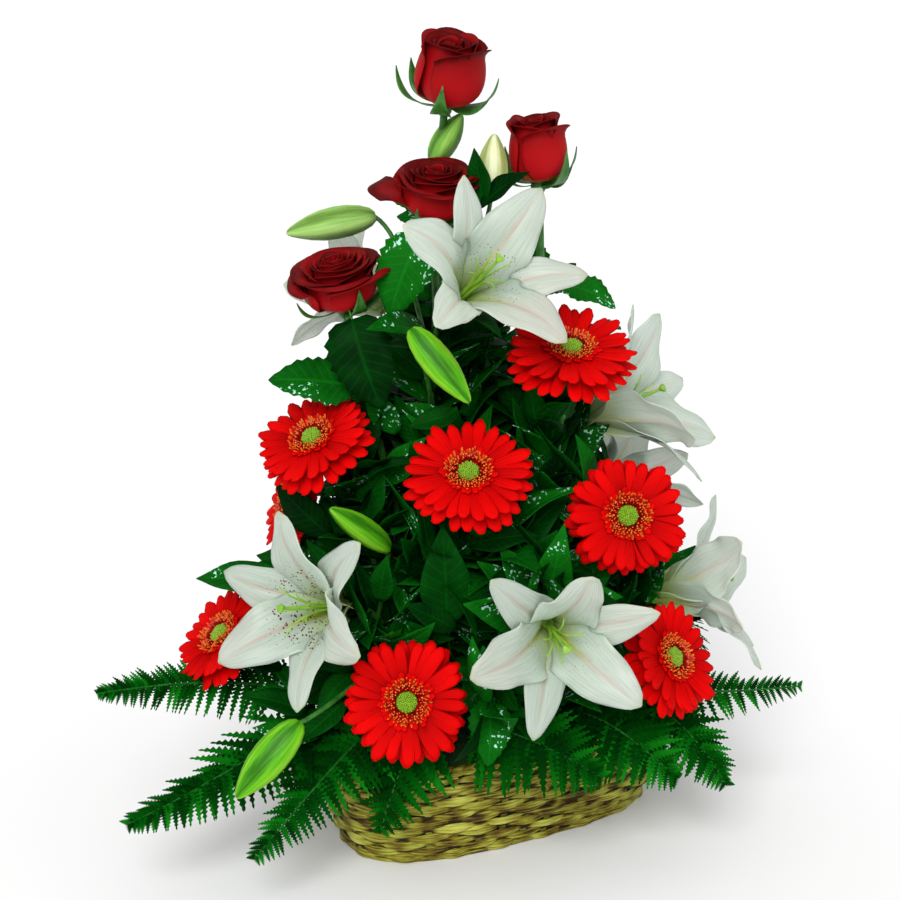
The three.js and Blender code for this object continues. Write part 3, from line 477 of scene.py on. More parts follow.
def sheet_mesh(sheets, material=None):
    """Thin sheets of (columns, rows, shape, tone). A shape gives the point u from -1 to 1 across the sheet
    and v from 0 to 1 along it. A sheet that will be copied has no tone of its own."""
    points, faces, spots, tones = [], [], [], []
    for columns, rows, shape, tone in sheets:
        for row in range(rows + 1):
            for column in range(columns + 1):
                if row and column:
                    corner = len(points) - columns - 2
                    faces.append((corner, corner + 1, corner + columns + 2, corner + columns + 1))
                points.append(shape(2 * column / columns - 1, row / rows))
                spots.append((column / columns, row / rows))
                if tone is not None:
                    tones.append(tone)
    return filled_mesh(points, faces, spots, material, tones)


def turned_mesh(profile, sides, material=None, ridges=0, depth=0.0):
    """A closed body turned round Z from (radius, height) rings in mm, with a pole at each end."""
    points, spots, faces = [(0, 0, profile[0][1] / 1000)], [(0.5, 0.0)], []
    last = len(profile) - 1
    for row, (radius, height) in enumerate(profile[1:-1], 1):
        for side in range(sides):
            angle = 2 * math.pi * side / sides
            grown = radius / 1000 * (1 + depth * math.cos(ridges * angle))
            points.append((grown * math.cos(angle), grown * math.sin(angle), height / 1000))
            spots.append((side / sides, row / last))
    points.append((0, 0, profile[-1][1] / 1000))
    spots.append((0.5, 1.0))
    for near in range(1, sides + 1):
        far = near % sides + 1
        faces.append((0, far, near))
        for row in range(0, (last - 2) * sides, sides):
            faces.append((row + near, row + far, row + far + sides, row + near + sides))
        faces.append(((last - 2) * sides + near, (last - 2) * sides + far, len(points) - 1))
    return filled_mesh(points, faces, spots, material)


def along_line(line, step):
    """The point that is some steps up a line, and the way the line goes there."""
    here, after = line[int(step)], line[min(int(step) + 1, len(line) - 1)]
    return here.lerp(after, step % 1), (after - here).normalized() if after != here else UP


def random_number(tree, low, high, seed):
    """A random number for each point of a geometry tree."""
    return tree.add("FunctionNodeRandomValue", at={2: low, 3: high, 8: seed}, output=1)


def copied(tree, points, shape, rotation, size):
    return tree.add("GeometryNodeInstanceOnPoints", points, Instance=shape, Rotation=rotation, Scale=size)


def toned(tree, copies, seed):
    """Gives each copy a random tone from 0 to 1."""
    return tree.add("GeometryNodeStoreNamedAttribute", copies, Name="tone",
                    Value=random_number(tree, 0.0, 1.0, seed), data_type="FLOAT", domain="INSTANCE")


stalk = Recipe("round stalk along a line")
stalk.end(stalk.add(
    "GeometryNodeCurveToMesh", stalk.add("GeometryNodeMeshToCurve", stalk["Geometry"]), Fill_Caps=True,
    Profile_Curve=stalk.add("GeometryNodeCurvePrimitiveCircle", 9, Radius=1.0), Scale=stalk.attribute("girth")))

# A whorl sets copies of one ray or floret round an axis, from an inner ring out to an outer one.
ring = Recipe("whorl", "Step Inner Outer Low High LeanInner LeanOuter Loose Vary", Count="Int", Seed="Int")
index = ring.add("GeometryNodeInputIndex")
share = index.math("DIVIDE", ring["Count"])
reach = share.math("SQRT").ranged(0, 1, ring["Inner"], ring["Outer"])
angle = index * ring["Step"] + random_number(ring, -1.0, 1.0, ring["Seed"]) * ring["Loose"]
level = share.ranged(0, 1, ring["Low"], ring["High"])
spot = ring.vector(reach * angle.math("COSINE"), reach * angle.math("SINE"), level)
lean = share.ranged(0, 1, ring["LeanInner"], ring["LeanOuter"]) + random_number(ring, -0.8, 0.8, 11) * ring["Loose"]
turn = ring.vector(random_number(ring, -1.6, 1.6, 12) * ring["Loose"], lean * -1.0, angle)
ring.end(toned(ring, copied(
    ring, ring.add("GeometryNodePoints", ring["Count"], spot), ring["Geometry"],
    ring.add("FunctionNodeEulerToRotation", turn), random_number(ring, -1.0, 0.6, 13) * ring["Vary"] + 1.0,
), ring["Seed"] + 5.0))


def whorl(mesh, material, count, inner, outer, low, high, lean_inner, lean_outer, loose, vary, seed):
    """Copies of a mesh round Z in one ring, or in a spiral from an inner radius to an outer one, in mm."""
    return ring.run(
        mesh, Material=material, Count=count, Step=2 * math.pi / count if inner == outer else GOLDEN_ANGLE,
        Inner=inner / 1000, Outer=outer / 1000, Low=low / 1000, High=high / 1000,
        LeanInner=math.radians(lean_inner), LeanOuter=math.radians(lean_outer), Loose=loose, Vary=vary, Seed=seed)


def ray_mesh(long, half_width, droop, cup):
    """A strap-shaped ray along X from the head's rim, grooved twice and rounded at its tip."""
    long, half_width = long / 1000, half_width / 1000

    def shape(u, v):
        half = half_width * (0.42 + 0.58 * math.sin(min(v / 0.62, 1) * math.pi / 2)) * (1 - 0.44 * v ** 20)
        notch = 0.009 * (1 - math.cos(3 * math.pi * u)) * v ** 6
        far = long * v * (1 - 0.05 * abs(u) ** 2.4 * v - notch)
        groove = 0.14 * half_width * math.cos(3 * math.pi * u) * math.sin(math.pi * min(v + 0.12, 1))
        return Vector((far, u * half, groove - cup * half * u * u - droop * long * v ** 2.2))
    return sheet_mesh([(6, 9, shape, None)])


def bract_shape(u, v):
    half = 0.0021 * (1 - v) ** 0.6 + 0.0001
    return Vector((0.017 * v, u * half, 0.0022 * math.sin(v * 2.6) - 0.3 * half * u * u))


def on_petal(skin):
    """How far across and how far up a petal or leaf a spot is, from 0 to 1."""
    spot = skin.add("ShaderNodeSeparateXYZ", skin.add("ShaderNodeUVMap", uv_map="UVMap"))
    return spot, spot.other("Y")


def from_middle(across):
    """How far from the middle of a petal or leaf a spot is, from 0 to 1 at its edge."""
    return (across * 2.0 - 1.0).math("ABSOLUTE")


skin = Skin("gerbera ray", roughness=0.6, Specular_IOR_Level=0.03)
across, up = on_petal(skin)
# A ray is painted darker along its edges, painted shade between neighbouring rays; it is also darker towards its
# foot, and its tone differs at random.
ray_tone_with_painted_shade = up * 0.55 + from_middle(across).math("POWER", 7.0) * -0.42 + (skin.attribute("tone") * 0.35 + 0.08)
red = skin.ramp(ray_tone_with_painted_shade, (0.10, (0.13, 0.0, 0.0)), (0.40, (0.48, 0.0006, 0.0008)), (0.80, (0.68, 0.0012, 0.0012)))
petal_red = skin.painted(red, (across * 44.0).math("SINE"), 0.35, 0.0004)

skin = Skin("gerbera floret", roughness=0.45)
climb = on_petal(skin)[1] + skin.attribute("tone") * -0.35
floret_gold = skin.painted(skin.ramp(
    climb, (0.25, (0.36, 0.002, 0.001)), (0.52, (0.66, 0.03, 0.003)), (0.84, (0.80, 0.23, 0.012))))

skin = Skin("gerbera disc", roughness=0.5)
climb = on_petal(skin)[1] + skin.attribute("tone") * 0.25
disc_green = skin.painted(skin.ramp(climb, (0.25, (0.06, 0.17, 0.002)), (1.0, (0.23, 0.42, 0.010))))

skin = Skin("flower stem", roughness=0.42, Specular_IOR_Level=0.4)
grain = skin.noise(120.0, 4.0)
stem_green = skin.painted(
    skin.ramp(grain, (0.3, (0.014, 0.090, 0.009)), (0.7, (0.045, 0.22, 0.022))), grain, 0.25, 0.0004)

bract = sheet_mesh([(2, 5, bract_shape, None)])
floret = turned_mesh([(0, 0), (0.6, 0.4), (0.4, 3.5), (0.9, 4.8), (0, 5.6)], 5)
disc_bud = turned_mesh([(0, 0), (1.0, 0.4), (1.1, 1.8), (0.6, 2.7), (0, 3.1)], 6)
for mesh in (floret, disc_bud):
    mesh.transform(Matrix.Rotation(math.radians(90), 4, "Y"))

for number, (name, (at, look, wide, foot)) in enumerate(GERBERAS.items(), 1):
    radius, axis, at = wide / 2, looking(*look), place(*at)
    pose = seated(at, axis, 40 * number)
    long_ray = ray_mesh(radius - RAY_ROOT, 6.0, 0.10, 0.20)
    front_ray = ray_mesh(0.95 * radius - RAY_ROOT, 5.7, 0.03, 0.24)
    short_ray = ray_mesh(0.44 * radius - RAY_ROOT, 2.4, -0.02, 0.25)
    tiny_ray = ray_mesh(7.8, 0.7, -0.3, 0.3)
    add_piece(f"{name}_petals", [
        whorl(long_ray, petal_red, 25, RAY_ROOT, RAY_ROOT, -2.2, -2.2, -7, -7, 0.06, 0.07, number),
        whorl(front_ray, petal_red, 25, RAY_ROOT, RAY_ROOT, 0.2, 0.2, 7, 7, 0.07, 0.09, number + 20),
        whorl(short_ray, petal_red, 30, RAY_ROOT, RAY_ROOT, 1.4, 1.4, 12, 12, 0.07, 0.15, number + 40),
        whorl(tiny_ray, floret_gold, 84, 11.2, 15.0, 2.0, 1.0, 46, 30, 0.10, 0.3, number),
    ], f"{name}_rays", pose, RAY_THICKNESS, 0)
    add_piece(f"{name}_disc", [
        turned_mesh([(0, -15), (3.6, -14.8), (8.8, -8.5), (10, -3), (8.8, 1), (8.8, 2.6), (7, 4.2), (0, 5)],
                    16, disc_green),
        whorl(floret, floret_gold, 110, 8.6, 12.8, 2.6, 1.4, 74, 48, 0.10, 0.25, number),
        whorl(disc_bud, disc_green, 90, 0.3, 7.3, 4.0, 2.4, 88, 66, 0.05, 0.2, number),
    ], f"{name}_stem", pose)
    add_piece(f"{name}_bracts", [
        whorl(bract, stem_green, 20, 5.2, 5.2, -13.5, -13.5, 52, 52, 0.08, 0.1, number),
        whorl(bract, stem_green, 20, 6.2, 6.2, -11.5, -11.5, 46, 46, 0.08, 0.1, number + 3),
    ], f"{name}_stem", pose, RAY_THICKNESS)
    line = stem_line(foot, at - axis * GERBERA_CUP, axis) + [at - axis * GERBERA_NECK]
    add_piece(f"{name}_stalk", [stalk_mesh([(line, GERBERA_STEM, GERBERA_STEM)], stem_green)], f"{name}_stem")

# ---------------------------------------------------------------- the roses
# A rose is a spiral of velvety petals: the inner ones wrap tightly into a point, the outer ones stand
# off and roll their lips back. Thin green sepals and a thick thorny stem carry it.

# Where a bloom is, the way it looks, its width and height, how far open it is, its petals, where its stem
# stands, and its sepals: each one's turn, how far it stands off, and its twist. One petal may stray.
ROSES = {
    "rose_top": ((-44, -10, 640), (20, 72), 68, 53, 0.25, 17, (-14, -30), (
        (152, 1.0, 0.6), (-40, 0.8, 0.3), (-128, 0.1, 0.0), (60, 0.7, 0.2), (104, 0.4, 0.2)), None),
    "rose_right": ((34, -10, 575), (-30, 82), 54, 51, 0.3, 16, (14, -20), (
        (-20, 1.0, 0.6), (-75, 0.1, 0.0), (170, 0.1, 0.3), (110, 0.7, 0.2), (50, 0.7, 0.2)), None),
    "rose_upper": ((-52, 16, 551), (4, 74), 62, 40, 0.9, 23, (-30, 12), (
        (-150, 0.7, 0.6), (-80, 0.1, 0.2), (30, 0.7, 0.2), (100, 0.7, 0.2)), 152),
    "rose_left": ((-128, 45, 480), (-40, 72), 64, 42, 1.0, 25, (-48, 6), (
        (175, 1.0, 0.6), (-95, 0.1, 0.0), (-20, 0.7, 0.2), (50, 0.7, 0.2), (115, 0.7, 0.2)), None),
}
ROSE_BELOW, ROSE_STEM, ROSE_THICKNESS = 0.010, 0.0033, 0.0007
STRAY_FLARE = 0.37
THORNS, THORN_LONG, THORN_WIDE = 9, 0.0085, 0.0019


def rose_petal(share, turn, radius, high, opened, flare, rng):
    """The shape of one petal; its share runs from 0 in the heart to 1 outside. A flare throws it wide."""
    belly = radius * mix(0.16, 0.90 - 0.3 * flare, share ** 0.75)
    mouth = radius * (mix(0.05, 0.66 + 0.36 * opened, share ** (1.25 - 0.35 * opened)) + flare)
    top = high * mix(1.0, 1.0 - 0.42 * opened, share ** 1.6) * rng.uniform(0.97, 1.03)
    span = math.radians(mix(150, 62, share ** 0.7)) * (1 - 1.3 * flare)
    spiral = mix(0.34, 0.05, share ** 0.5)
    roll = mix(0.15, 1.0, share ** 0.8) * mix(0.75, 1.0, opened) * rng.uniform(0.85, 1.15) * (1 - 1.5 * flare)
    lip = mix(0.0012, 0.0040 + 0.0022 * opened, share)
    wave, beat, peak = rng.uniform(0, 6.28), rng.uniform(2.2, 3.4), rng.uniform(-0.25, 0.25)
    ends = (
        Vector((0.0030, 0, 0.0004)), Vector((belly * 1.18, 0, (0.02 + 0.7 * flare) * high)),
        Vector((belly * 1.02, 0, (0.62 + 0.2 * flare) * top)), Vector((mouth, 0, top * 0.97)))

    def shape(u, v):
        body, edge = min(v / 0.80, 1.0), 1 - 0.20 * abs(u - 0.3 * peak) ** 2.6
        spot = bezier(ends, body * (0.35 + 0.65 * edge))
        ahead = bezier(ends, min(body * edge + 0.02, 1.0)) - bezier(ends, max(body * edge - 0.02, 0.0))
        angle = math.atan2(ahead.z, ahead.x)
        if v > 0.80:
            bent = (v - 0.80) / 0.20 * roll * (2.1 + 0.5 * math.sin(beat * u + wave)) * (0.75 + 0.25 * (1 - u * u))
            spot += Vector((math.cos(angle - bent / 2), 0, math.sin(angle - bent / 2))) * lip * (v - 0.80) * 11
        width = span * (0.34 + 0.66 * math.sin(min(v / 0.72, 1) * math.pi / 2) ** 1.1) * (1 - 0.10 * v ** 6)
        around = turn + u * width
        ripple = 1 + 0.035 * math.sin(beat * 1.7 * u + wave) * v * v
        far = max(spot.x * ripple * (1 + spiral * u) + 0.0010 * abs(u) ** 3 * share * v, 0.0006)
        rise = spot.z + 0.022 * high * math.sin(beat * u * 1.3 + wave) * v ** 4
        return Vector((far * math.cos(around), far * math.sin(around), rise))
    return shape


def sepal_shape(turn, radius, high, off, curl, twist):
    """A thin pointed sepal that passes under the bloom and up beside it, standing off by a share."""
    belly = 0.90 * radius
    ends = (Vector((0.0050, 0, -0.0030)), Vector((0.85 * belly, 0, -0.0050)),
            Vector(((1.22 + 0.04 * off) * belly, 0, 0.10 * high)),
            Vector(((1.06 + 0.36 * off) * belly, 0, (0.56 - 0.06 * off) * high)))

    def shape(u, v):
        middle = bezier(ends, v)
        half = 0.0090 * math.sin(math.pi * v ** 0.8) * (1 - 0.4 * v) + 0.0014 * (1 - v) + 0.0003
        side, edge = u * half * math.cos(twist) + curl * v * v * high, u * half * math.sin(twist)
        return Matrix.Rotation(turn, 3, "Z") @ Vector((
            middle.x + abs(u) * half * 0.25 + edge * v, side, middle.z + edge * (1 - v)))
    return shape


skin = Skin("rose petal", roughness=0.6, Specular_IOR_Level=0.08, Sheen_Weight=0.05,
            Sheen_Roughness=0.35, Sheen_Tint=(1.0, 0.10, 0.08, 1))
across, up = on_petal(skin)
climb = up + (skin.noise(60.0, 3.0) * 0.24 - 0.12 + (skin.attribute("tone") * 0.20 - 0.10))
red = skin.ramp(climb, (0.10, (0.36, 0.16, 0.03)), (0.22, (0.46, 0.006, 0.010)), (0.62, (0.34, 0.003, 0.005)),
                (0.88, (0.22, 0.0015, 0.003)), (1.0, (0.090, 0.0008, 0.0012)))
rose_red = skin.painted(red, skin.noise(1.0, 4.0, across * 60.0, up * 5.0), 0.25, 0.0004)

for number, (name, rose) in enumerate(ROSES.items(), 1):
    at, look, wide, high, opened, petals, foot, sepals, stray = rose
    rng = random.Random(40 + number)
    radius, high, axis, at = wide / 2000, high / 1000, looking(*look), place(*at)
    pose = seated(at, axis)
    sheets = []
    for index in range(petals):
        share = index / (petals - 1)
        turn, flare = index * GOLDEN_ANGLE + rng.uniform(-0.15, 0.15), 0.0
        if stray and share == 1:
            turn, flare = math.radians(stray), STRAY_FLARE
        sheets.append((14, 15, rose_petal(share, turn, radius, high, opened, flare, rng), rng.random()))
    add_piece(f"{name}_petals", [sheet_mesh(sheets, rose_red)], f"{name}_bloom", pose, ROSE_THICKNESS, 0)

    sheets = []
    for turn, off, twist in sepals:
        shape = sepal_shape(math.radians(turn), radius, high, off, rng.uniform(-0.2, 0.2), twist)
        sheets.append((4, 14, shape, rng.random()))
    add_piece(f"{name}_sepals", [sheet_mesh(sheets, stem_green)], f"{name}_stem", pose, ROSE_THICKNESS, 0)

    cup = turned_mesh([(0, -12.5), (3.4, -12), (5.8, -8.5), (6.6, -5), (5.8, -1.2), (6.2, 0.4), (0, 0.8)],
                      12, stem_green)
    cup.transform(pose)
    line = stem_line(foot, at - axis * ROSE_BELOW, axis)
    lines = [(line, ROSE_STEM, ROSE_STEM)]
    for index in range(THORNS):
        spot, along = along_line(line, 5 + index * 1.35)
        outward = Quaternion(along, index * GOLDEN_ANGLE) @ along.orthogonal().normalized()
        tip = spot + outward * THORN_LONG - along * 0.0018
        lines.append(([spot + outward * 0.0015, spot.lerp(tip, 0.6), tip], THORN_WIDE, 0.0002))
    add_piece(f"{name}_stalk", [cup, stalk_mesh(lines, stem_green)], f"{name}_stem")

# ---------------------------------------------------------------- the lilies
# Six white tepals flare out of a short tube, three broad ones in front of three narrow ones, ruffled
# at the edge and ridged down the middle. A long style and six bare filaments stand in the throat.

# Where a flower is, the way it looks, its size and roll, where its stem stands, how spotted it is, and
# each tepal's turn round the flower and bend; broad and narrow ones alternate.
LILIES = {
    "lily_top": ((-34, 74, 490), (34, 36), 1.02, 13, (0, 8), 0.55,
                 ((65, 62), (120, 40), (172, 80), (230, 72), (315, 74), (8, 62))),
    "lily_right": ((76, -6, 366), (80, 26), 1.06, 0, (36, 0), 0.2,
                   ((24, 60), (72, 54), (122, 58), (180, 48), (286, 54), (334, 62))),
    "lily_lower_right": ((140, 0, 206), (86, 16), 1.0, 30, (70, -10), 0.2,
                         ((196, 50), (250, 58), (298, 74), (345, 60), (45, 60), (105, 60))),
    "lily_lower_left": ((-128, 106, 238), (-42, 12), 1.04, 10, (-54, 42), 1.0,
                        ((300, 88), (355, 86), (48, 66), (118, 80), (176, 60), (242, 64))),
    "lily_lower_front": ((40, 122, 230), (10, 0), 1.0, 12, (14, 46), 0.4,
                         ((320, 64), (20, 62), (72, 52), (130, 78), (190, 72), (246, 58))),
    "lily_back_left": ((-92, -40, 462), (-120, 20), 0.86, 0, (-40, -18), 0.3,
                       ((0, 56), (60, 62), (120, 58), (180, 66), (240, 60), (300, 64))),
    "lily_back_right": ((92, -58, 282), (124, 26), 0.9, -13, (34, -34), 0.3,
                        ((0, 60), (60, 66), (120, 54), (180, 62), (240, 58), (300, 68))),
}
TEPAL_LONG, TEPAL_BROAD, TEPAL_NARROW, TEPAL_STEPS = 0.112, 0.0274, 0.0204, 40
TEPAL_THICKNESS = 0.0008
STYLE_LONG, FILAMENT_LONG = 0.066, 0.058
STYLE, FILAMENT, LILY_STEM = (0.0019, 0.0013), (0.0011, 0.0006), (0.0034, 0.0027)
LILY_BELOW, VIEW_ROLL = 0.003, -30


def tepal_shape(turn, bend, size, broad, rng):
    """The shape of one tepal, which leaves the tube at a turn about Z and arches outwards."""
    long = TEPAL_LONG * size * (1.0 if broad else 0.97) * rng.uniform(0.97, 1.04)
    widest = (TEPAL_BROAD if broad else TEPAL_NARROW) * size
    lift = math.degrees(math.atan(0.5 if broad else 0.62)) - 8
    wave, beats, ruffle = rng.uniform(0, 6.28), rng.uniform(2.0, 3.2), rng.uniform(0.04, 0.09)
    sway, twist = rng.uniform(-0.04, 0.04), rng.uniform(-0.22, 0.22)
    middle, headings = [Vector((0.003, 0, 0.003 if broad else 0.001))], []
    for step in range(TEPAL_STEPS):
        share = step / TEPAL_STEPS
        angle = math.radians(90 - lift - bend * (0.62 * share + 0.38 * share ** 3))
        headings.append(Vector((math.cos(angle), 0, math.sin(angle))))
        middle.append(middle[-1] + headings[-1] * long / TEPAL_STEPS)

    def shape(u, v):
        step = min(int(v * TEPAL_STEPS), TEPAL_STEPS - 1)
        centre = middle[step].lerp(middle[step + 1], v * TEPAL_STEPS - step)
        upward = Vector((-headings[step].z, 0, headings[step].x))
        swell = max(math.sin(math.pi * min(0.10 + 0.90 * v, 1) ** 0.94), 0) ** 0.56
        half = (widest * swell * (1 - 0.14 * v) * 1.06 + 0.0007) * (1 + 0.03 * math.sin(9 * v + wave * 2 + 2 * u))
        ruffled = ruffle * 2 * math.sin(beats * 2 * math.pi * v + wave + (1.7 if u > 0 else 0)) * min(v * 3, 1)
        lifted = half * (
            0.30 * abs(u) * (1 - v) - 0.16 * math.exp(-(u / 0.16) ** 2) * (1 - 0.6 * v)
            - 0.34 * u * u * v * v + abs(u) ** 2.2 * ruffled + twist * u * v)
        sideways = u * half * math.cos(0.35 * abs(u)) + sway * long * v * v
        return Matrix.Rotation(turn, 3, "Z") @ (centre + Vector((0, sideways, 0)) + upward * lifted)
    return shape


def mixed(skin, share, first, second):
    """Two colours mixed by a share of the second."""
    return skin.add("ShaderNodeMix", share, at={6: first, 7: second}, output=2, data_type="RGBA")


skin = Skin("lily tepal", roughness=0.42, Specular_IOR_Level=0.3, Subsurface_Weight=0.60, Subsurface_Scale=0.012,
            Subsurface_Radius=(1.0, 1.0, 0.9))
across, up = on_petal(skin)
side, tone = from_middle(across), skin.attribute("tone")
white = skin.ramp(up, (0.02, (0.22, 0.38, 0.03)), (0.16, (0.44, 0.56, 0.18)), (0.34, (0.48, 0.60, 0.47)),
                  (0.92, (0.53, 0.64, 0.52)), (1.0, (0.46, 0.56, 0.34)))
# Fine veins run the length of a tepal, a little greyer than the white between them. The rib blushes
# pink half-way up, the furrow at its foot is yellow-green, and small dark spots lie round the throat.
streaks = skin.noise(1.0, 4.0, across * 34.0, up * 4.0, tone * 9.0)
veined = mixed(skin, streaks.ranged(0.42, 0.66, 0.0, 0.6), white, (0.36, 0.46, 0.36, 1))
rib = side.ranged(0.0, 0.15, 0.75, 0.0) * (up - 0.55).math("ABSOLUTE").ranged(0.15, 0.42, 1.0, 0.0)
pinked = mixed(skin, rib * streaks, veined, (0.62, 0.24, 0.17, 1))
furrow = side.ranged(0.02, 0.16, 0.9, 0.0) * up.ranged(0.20, 0.52, 1.0, 0.0)
furrowed = mixed(skin, furrow, pinked, (0.46, 0.52, 0.03, 1))
cells = skin.add("ShaderNodeTexVoronoi", Vector=skin.vector(across * 17.0, up * 42.0, tone * 7.0), Scale=1.0,
                 Randomness=0.9)
throat = (up - 0.34).math("ABSOLUTE").ranged(0.14, 0.32, 0.29, 0.0)
spotted = cells.math("LESS_THAN", throat * skin.attribute("spots") * side.ranged(0.55, 0.85, 1.0, 0.0))
tepal_white = skin.painted(mixed(skin, spotted, furrowed, (0.10, 0.003, 0.008, 1)), streaks, 0.30, 0.0006)

skin = Skin("lily style and filaments", roughness=0.35)
lily_green = skin.painted(skin.ramp(skin.noise(70.0, 2.0), (0.3, (0.16, 0.38, 0.02)), (0.7, (0.34, 0.56, 0.06))))

lily_lines = {}
for number, (name, (at, look, size, roll, foot, spots, tepals)) in enumerate(LILIES.items(), 1):
    rng = random.Random(60 + number)
    axis, at = looking(*look), place(*at)
    pose = seated(at, axis, roll + VIEW_ROLL)
    petals = sheet_mesh([
        (14, 24, tepal_shape(math.radians(turn), bend, size, index % 2 == 0, rng), rng.random())
        for index, (turn, bend) in enumerate(tepals)], tepal_white)
    store(petals, "spots", [spots] * len(petals.vertices))
    add_piece(f"{name}_tepals", [petals], f"{name}_bloom", pose, TEPAL_THICKNESS, 0)

    style = [Vector((0.0005 * math.sin(v * 2), 0.0020 * v * v, 0.004 + STYLE_LONG * size * v))
             for v in (step / 10 for step in range(11))]
    lines = [(style, *STYLE)]
    for index in range(6):
        turn = math.radians(60 * index + 30 + rng.uniform(-8, 8))
        spread, tall = rng.uniform(0.20, 0.36), FILAMENT_LONG * size * rng.uniform(0.9, 1.05)
        filament = []
        for v in (step / 8 for step in range(9)):
            off = 0.0022 + spread * tall * v ** 2.2
            rise = 0.008 + (tall - 0.008) * math.sin(0.45 * math.pi * v)
            filament.append(Vector((math.cos(turn) * off, math.sin(turn) * off, rise)))
        lines.append((filament, *FILAMENT))
    stigma = turned_mesh([(0, -3), (1.6, -2.6), (3.4, 0), (3.6, 1.6), (2.2, 2.6), (0, 2.2)], 12, lily_green, 3, 0.22)
    stigma.transform(Matrix.Translation(style[-1]))
    tube = turned_mesh([(0, -5), (3.4, -4.8), (5.2, -1), (6, 3), (4.6, 5), (0, 5.6)], 14, lily_green)
    add_piece(f"{name}_heart", [stalk_mesh(lines, lily_green), stigma, tube], f"{name}_stem", pose)
    lily_lines[name] = stem_line(foot, at - axis * LILY_BELOW, axis)
    add_piece(f"{name}_stalk", [stalk_mesh([(lily_lines[name], *LILY_STEM)], stem_green)],
              f"{name}_stem")

# ---------------------------------------------------------------- the lily buds
# Closed buds stand on side stalks of three of the lilies: ridged spindles, blunt at the stalk. The
# palest is about to open.

# The lily, how far up its stem the stalk starts, the stalk's bend, the bud's base and tip, its width,
# and how pale it is.
BUDS = (
    ("lily_top", 0.78, (-78, -4, 530), (-102, -8, 545), (-178, 0, 532), 27, 0.30),
    ("lily_top", 0.84, (-10, 20, 530), (-6, 12, 562), (-3, 2, 616), 25, 1.0),
    ("lily_top", 0.66, (-60, 96, 452), (-72, 106, 474), (-24, 128, 418), 25, 0.0),
    ("lily_lower_left", 0.72, (-92, 84, 260), (-90, 98, 284), (-138, 122, 328), 22, 0.0),
    ("lily_lower_left", 0.5, (-130, 168, 176), (-160, 186, 168), (-212, 206, 110), 29, 0.0),
    ("lily_back_left", 0.85, (-50, -24, 560), (-55, -20, 588), (-30, -16, 630), 22, 0.15),
)
BUD_STALK = (0.0021, 0.0019)
BUD_PROFILE = (
    (0, 0), (0.012, 0.30), (0.06, 0.56), (0.16, 0.80), (0.30, 0.96), (0.45, 1), (0.60, 0.94), (0.74, 0.76),
    (0.86, 0.52), (0.95, 0.30), (0.985, 0.16), (1, 0))

skin = Skin("lily bud", roughness=0.45, Specular_IOR_Level=0.12)
across, up = on_petal(skin)
mottle = skin.noise(1.0, 4.0, across * 30.0, up * 4.0)
# Round the bud the colour follows its three ridges: the grooves between them are painted darker, painted shade, and
# the ridges paler.
share = (across * (6 * math.pi)).math("COSINE") * 0.24 + 0.32 + (mottle * 0.8 - 0.40)
green = skin.ramp(share, (0.08, (0.025, 0.15, 0.003)), (0.36, (0.09, 0.38, 0.007)), (0.72, (0.26, 0.56, 0.025)))
cream = skin.ramp(share, (0.10, (0.36, 0.46, 0.12)), (0.5, (0.72, 0.76, 0.44)), (0.8, (0.82, 0.84, 0.66)))
bud_skin = skin.painted(mixed(skin, skin.attribute("tone"), green, cream), mottle, 0.25, 0.0005)

for number, (lily, share, bend, base, tip, wide, pale) in enumerate(BUDS, 1):
    bend, base, tip = place(*bend), place(*base), place(*tip)
    way = tip - base
    profile = [(radius * wide / 2, height * way.length * 1000) for height, radius in BUD_PROFILE]
    bud = turned_mesh(profile, 30, bud_skin, 3, 0.12)
    bud.transform(seated(base, way))
    store(bud, "tone", [pale] * len(bud.vertices))
    root, _ = along_line(lily_lines[lily], 1 + share * (len(lily_lines[lily]) - 2))
    line = arch((root, root.lerp(bend, 0.67), bend.lerp(base, 0.33), base + way * 0.02), 12)
    add_piece(f"{lily}_bud_{number}", [bud, stalk_mesh([(line, *BUD_STALK)], stem_green)],
              f"{lily}_stem")

# ---------------------------------------------------------------- the leaves
# Dark leaves, their gloss shown by painted glints, fill the room between the flowers: lance-shaped ones up the lily
# stems and the filler sprays, and toothed rose leaves in fives on thin stalks. No leaf grows through a flower.

# Where a spray's tip is and where it stands.
SPRAYS = {
    "greens_front": ((-6, 96, 296), (2, 30)),
    "greens_left": ((-122, 60, 330), (-62, 6)),
    "greens_right": ((44, 52, 388), (26, 4)),
    "greens_back": ((-16, -104, 430), (-8, -38)),
    "greens_back_right": ((70, -116, 250), (14, -52)),
}
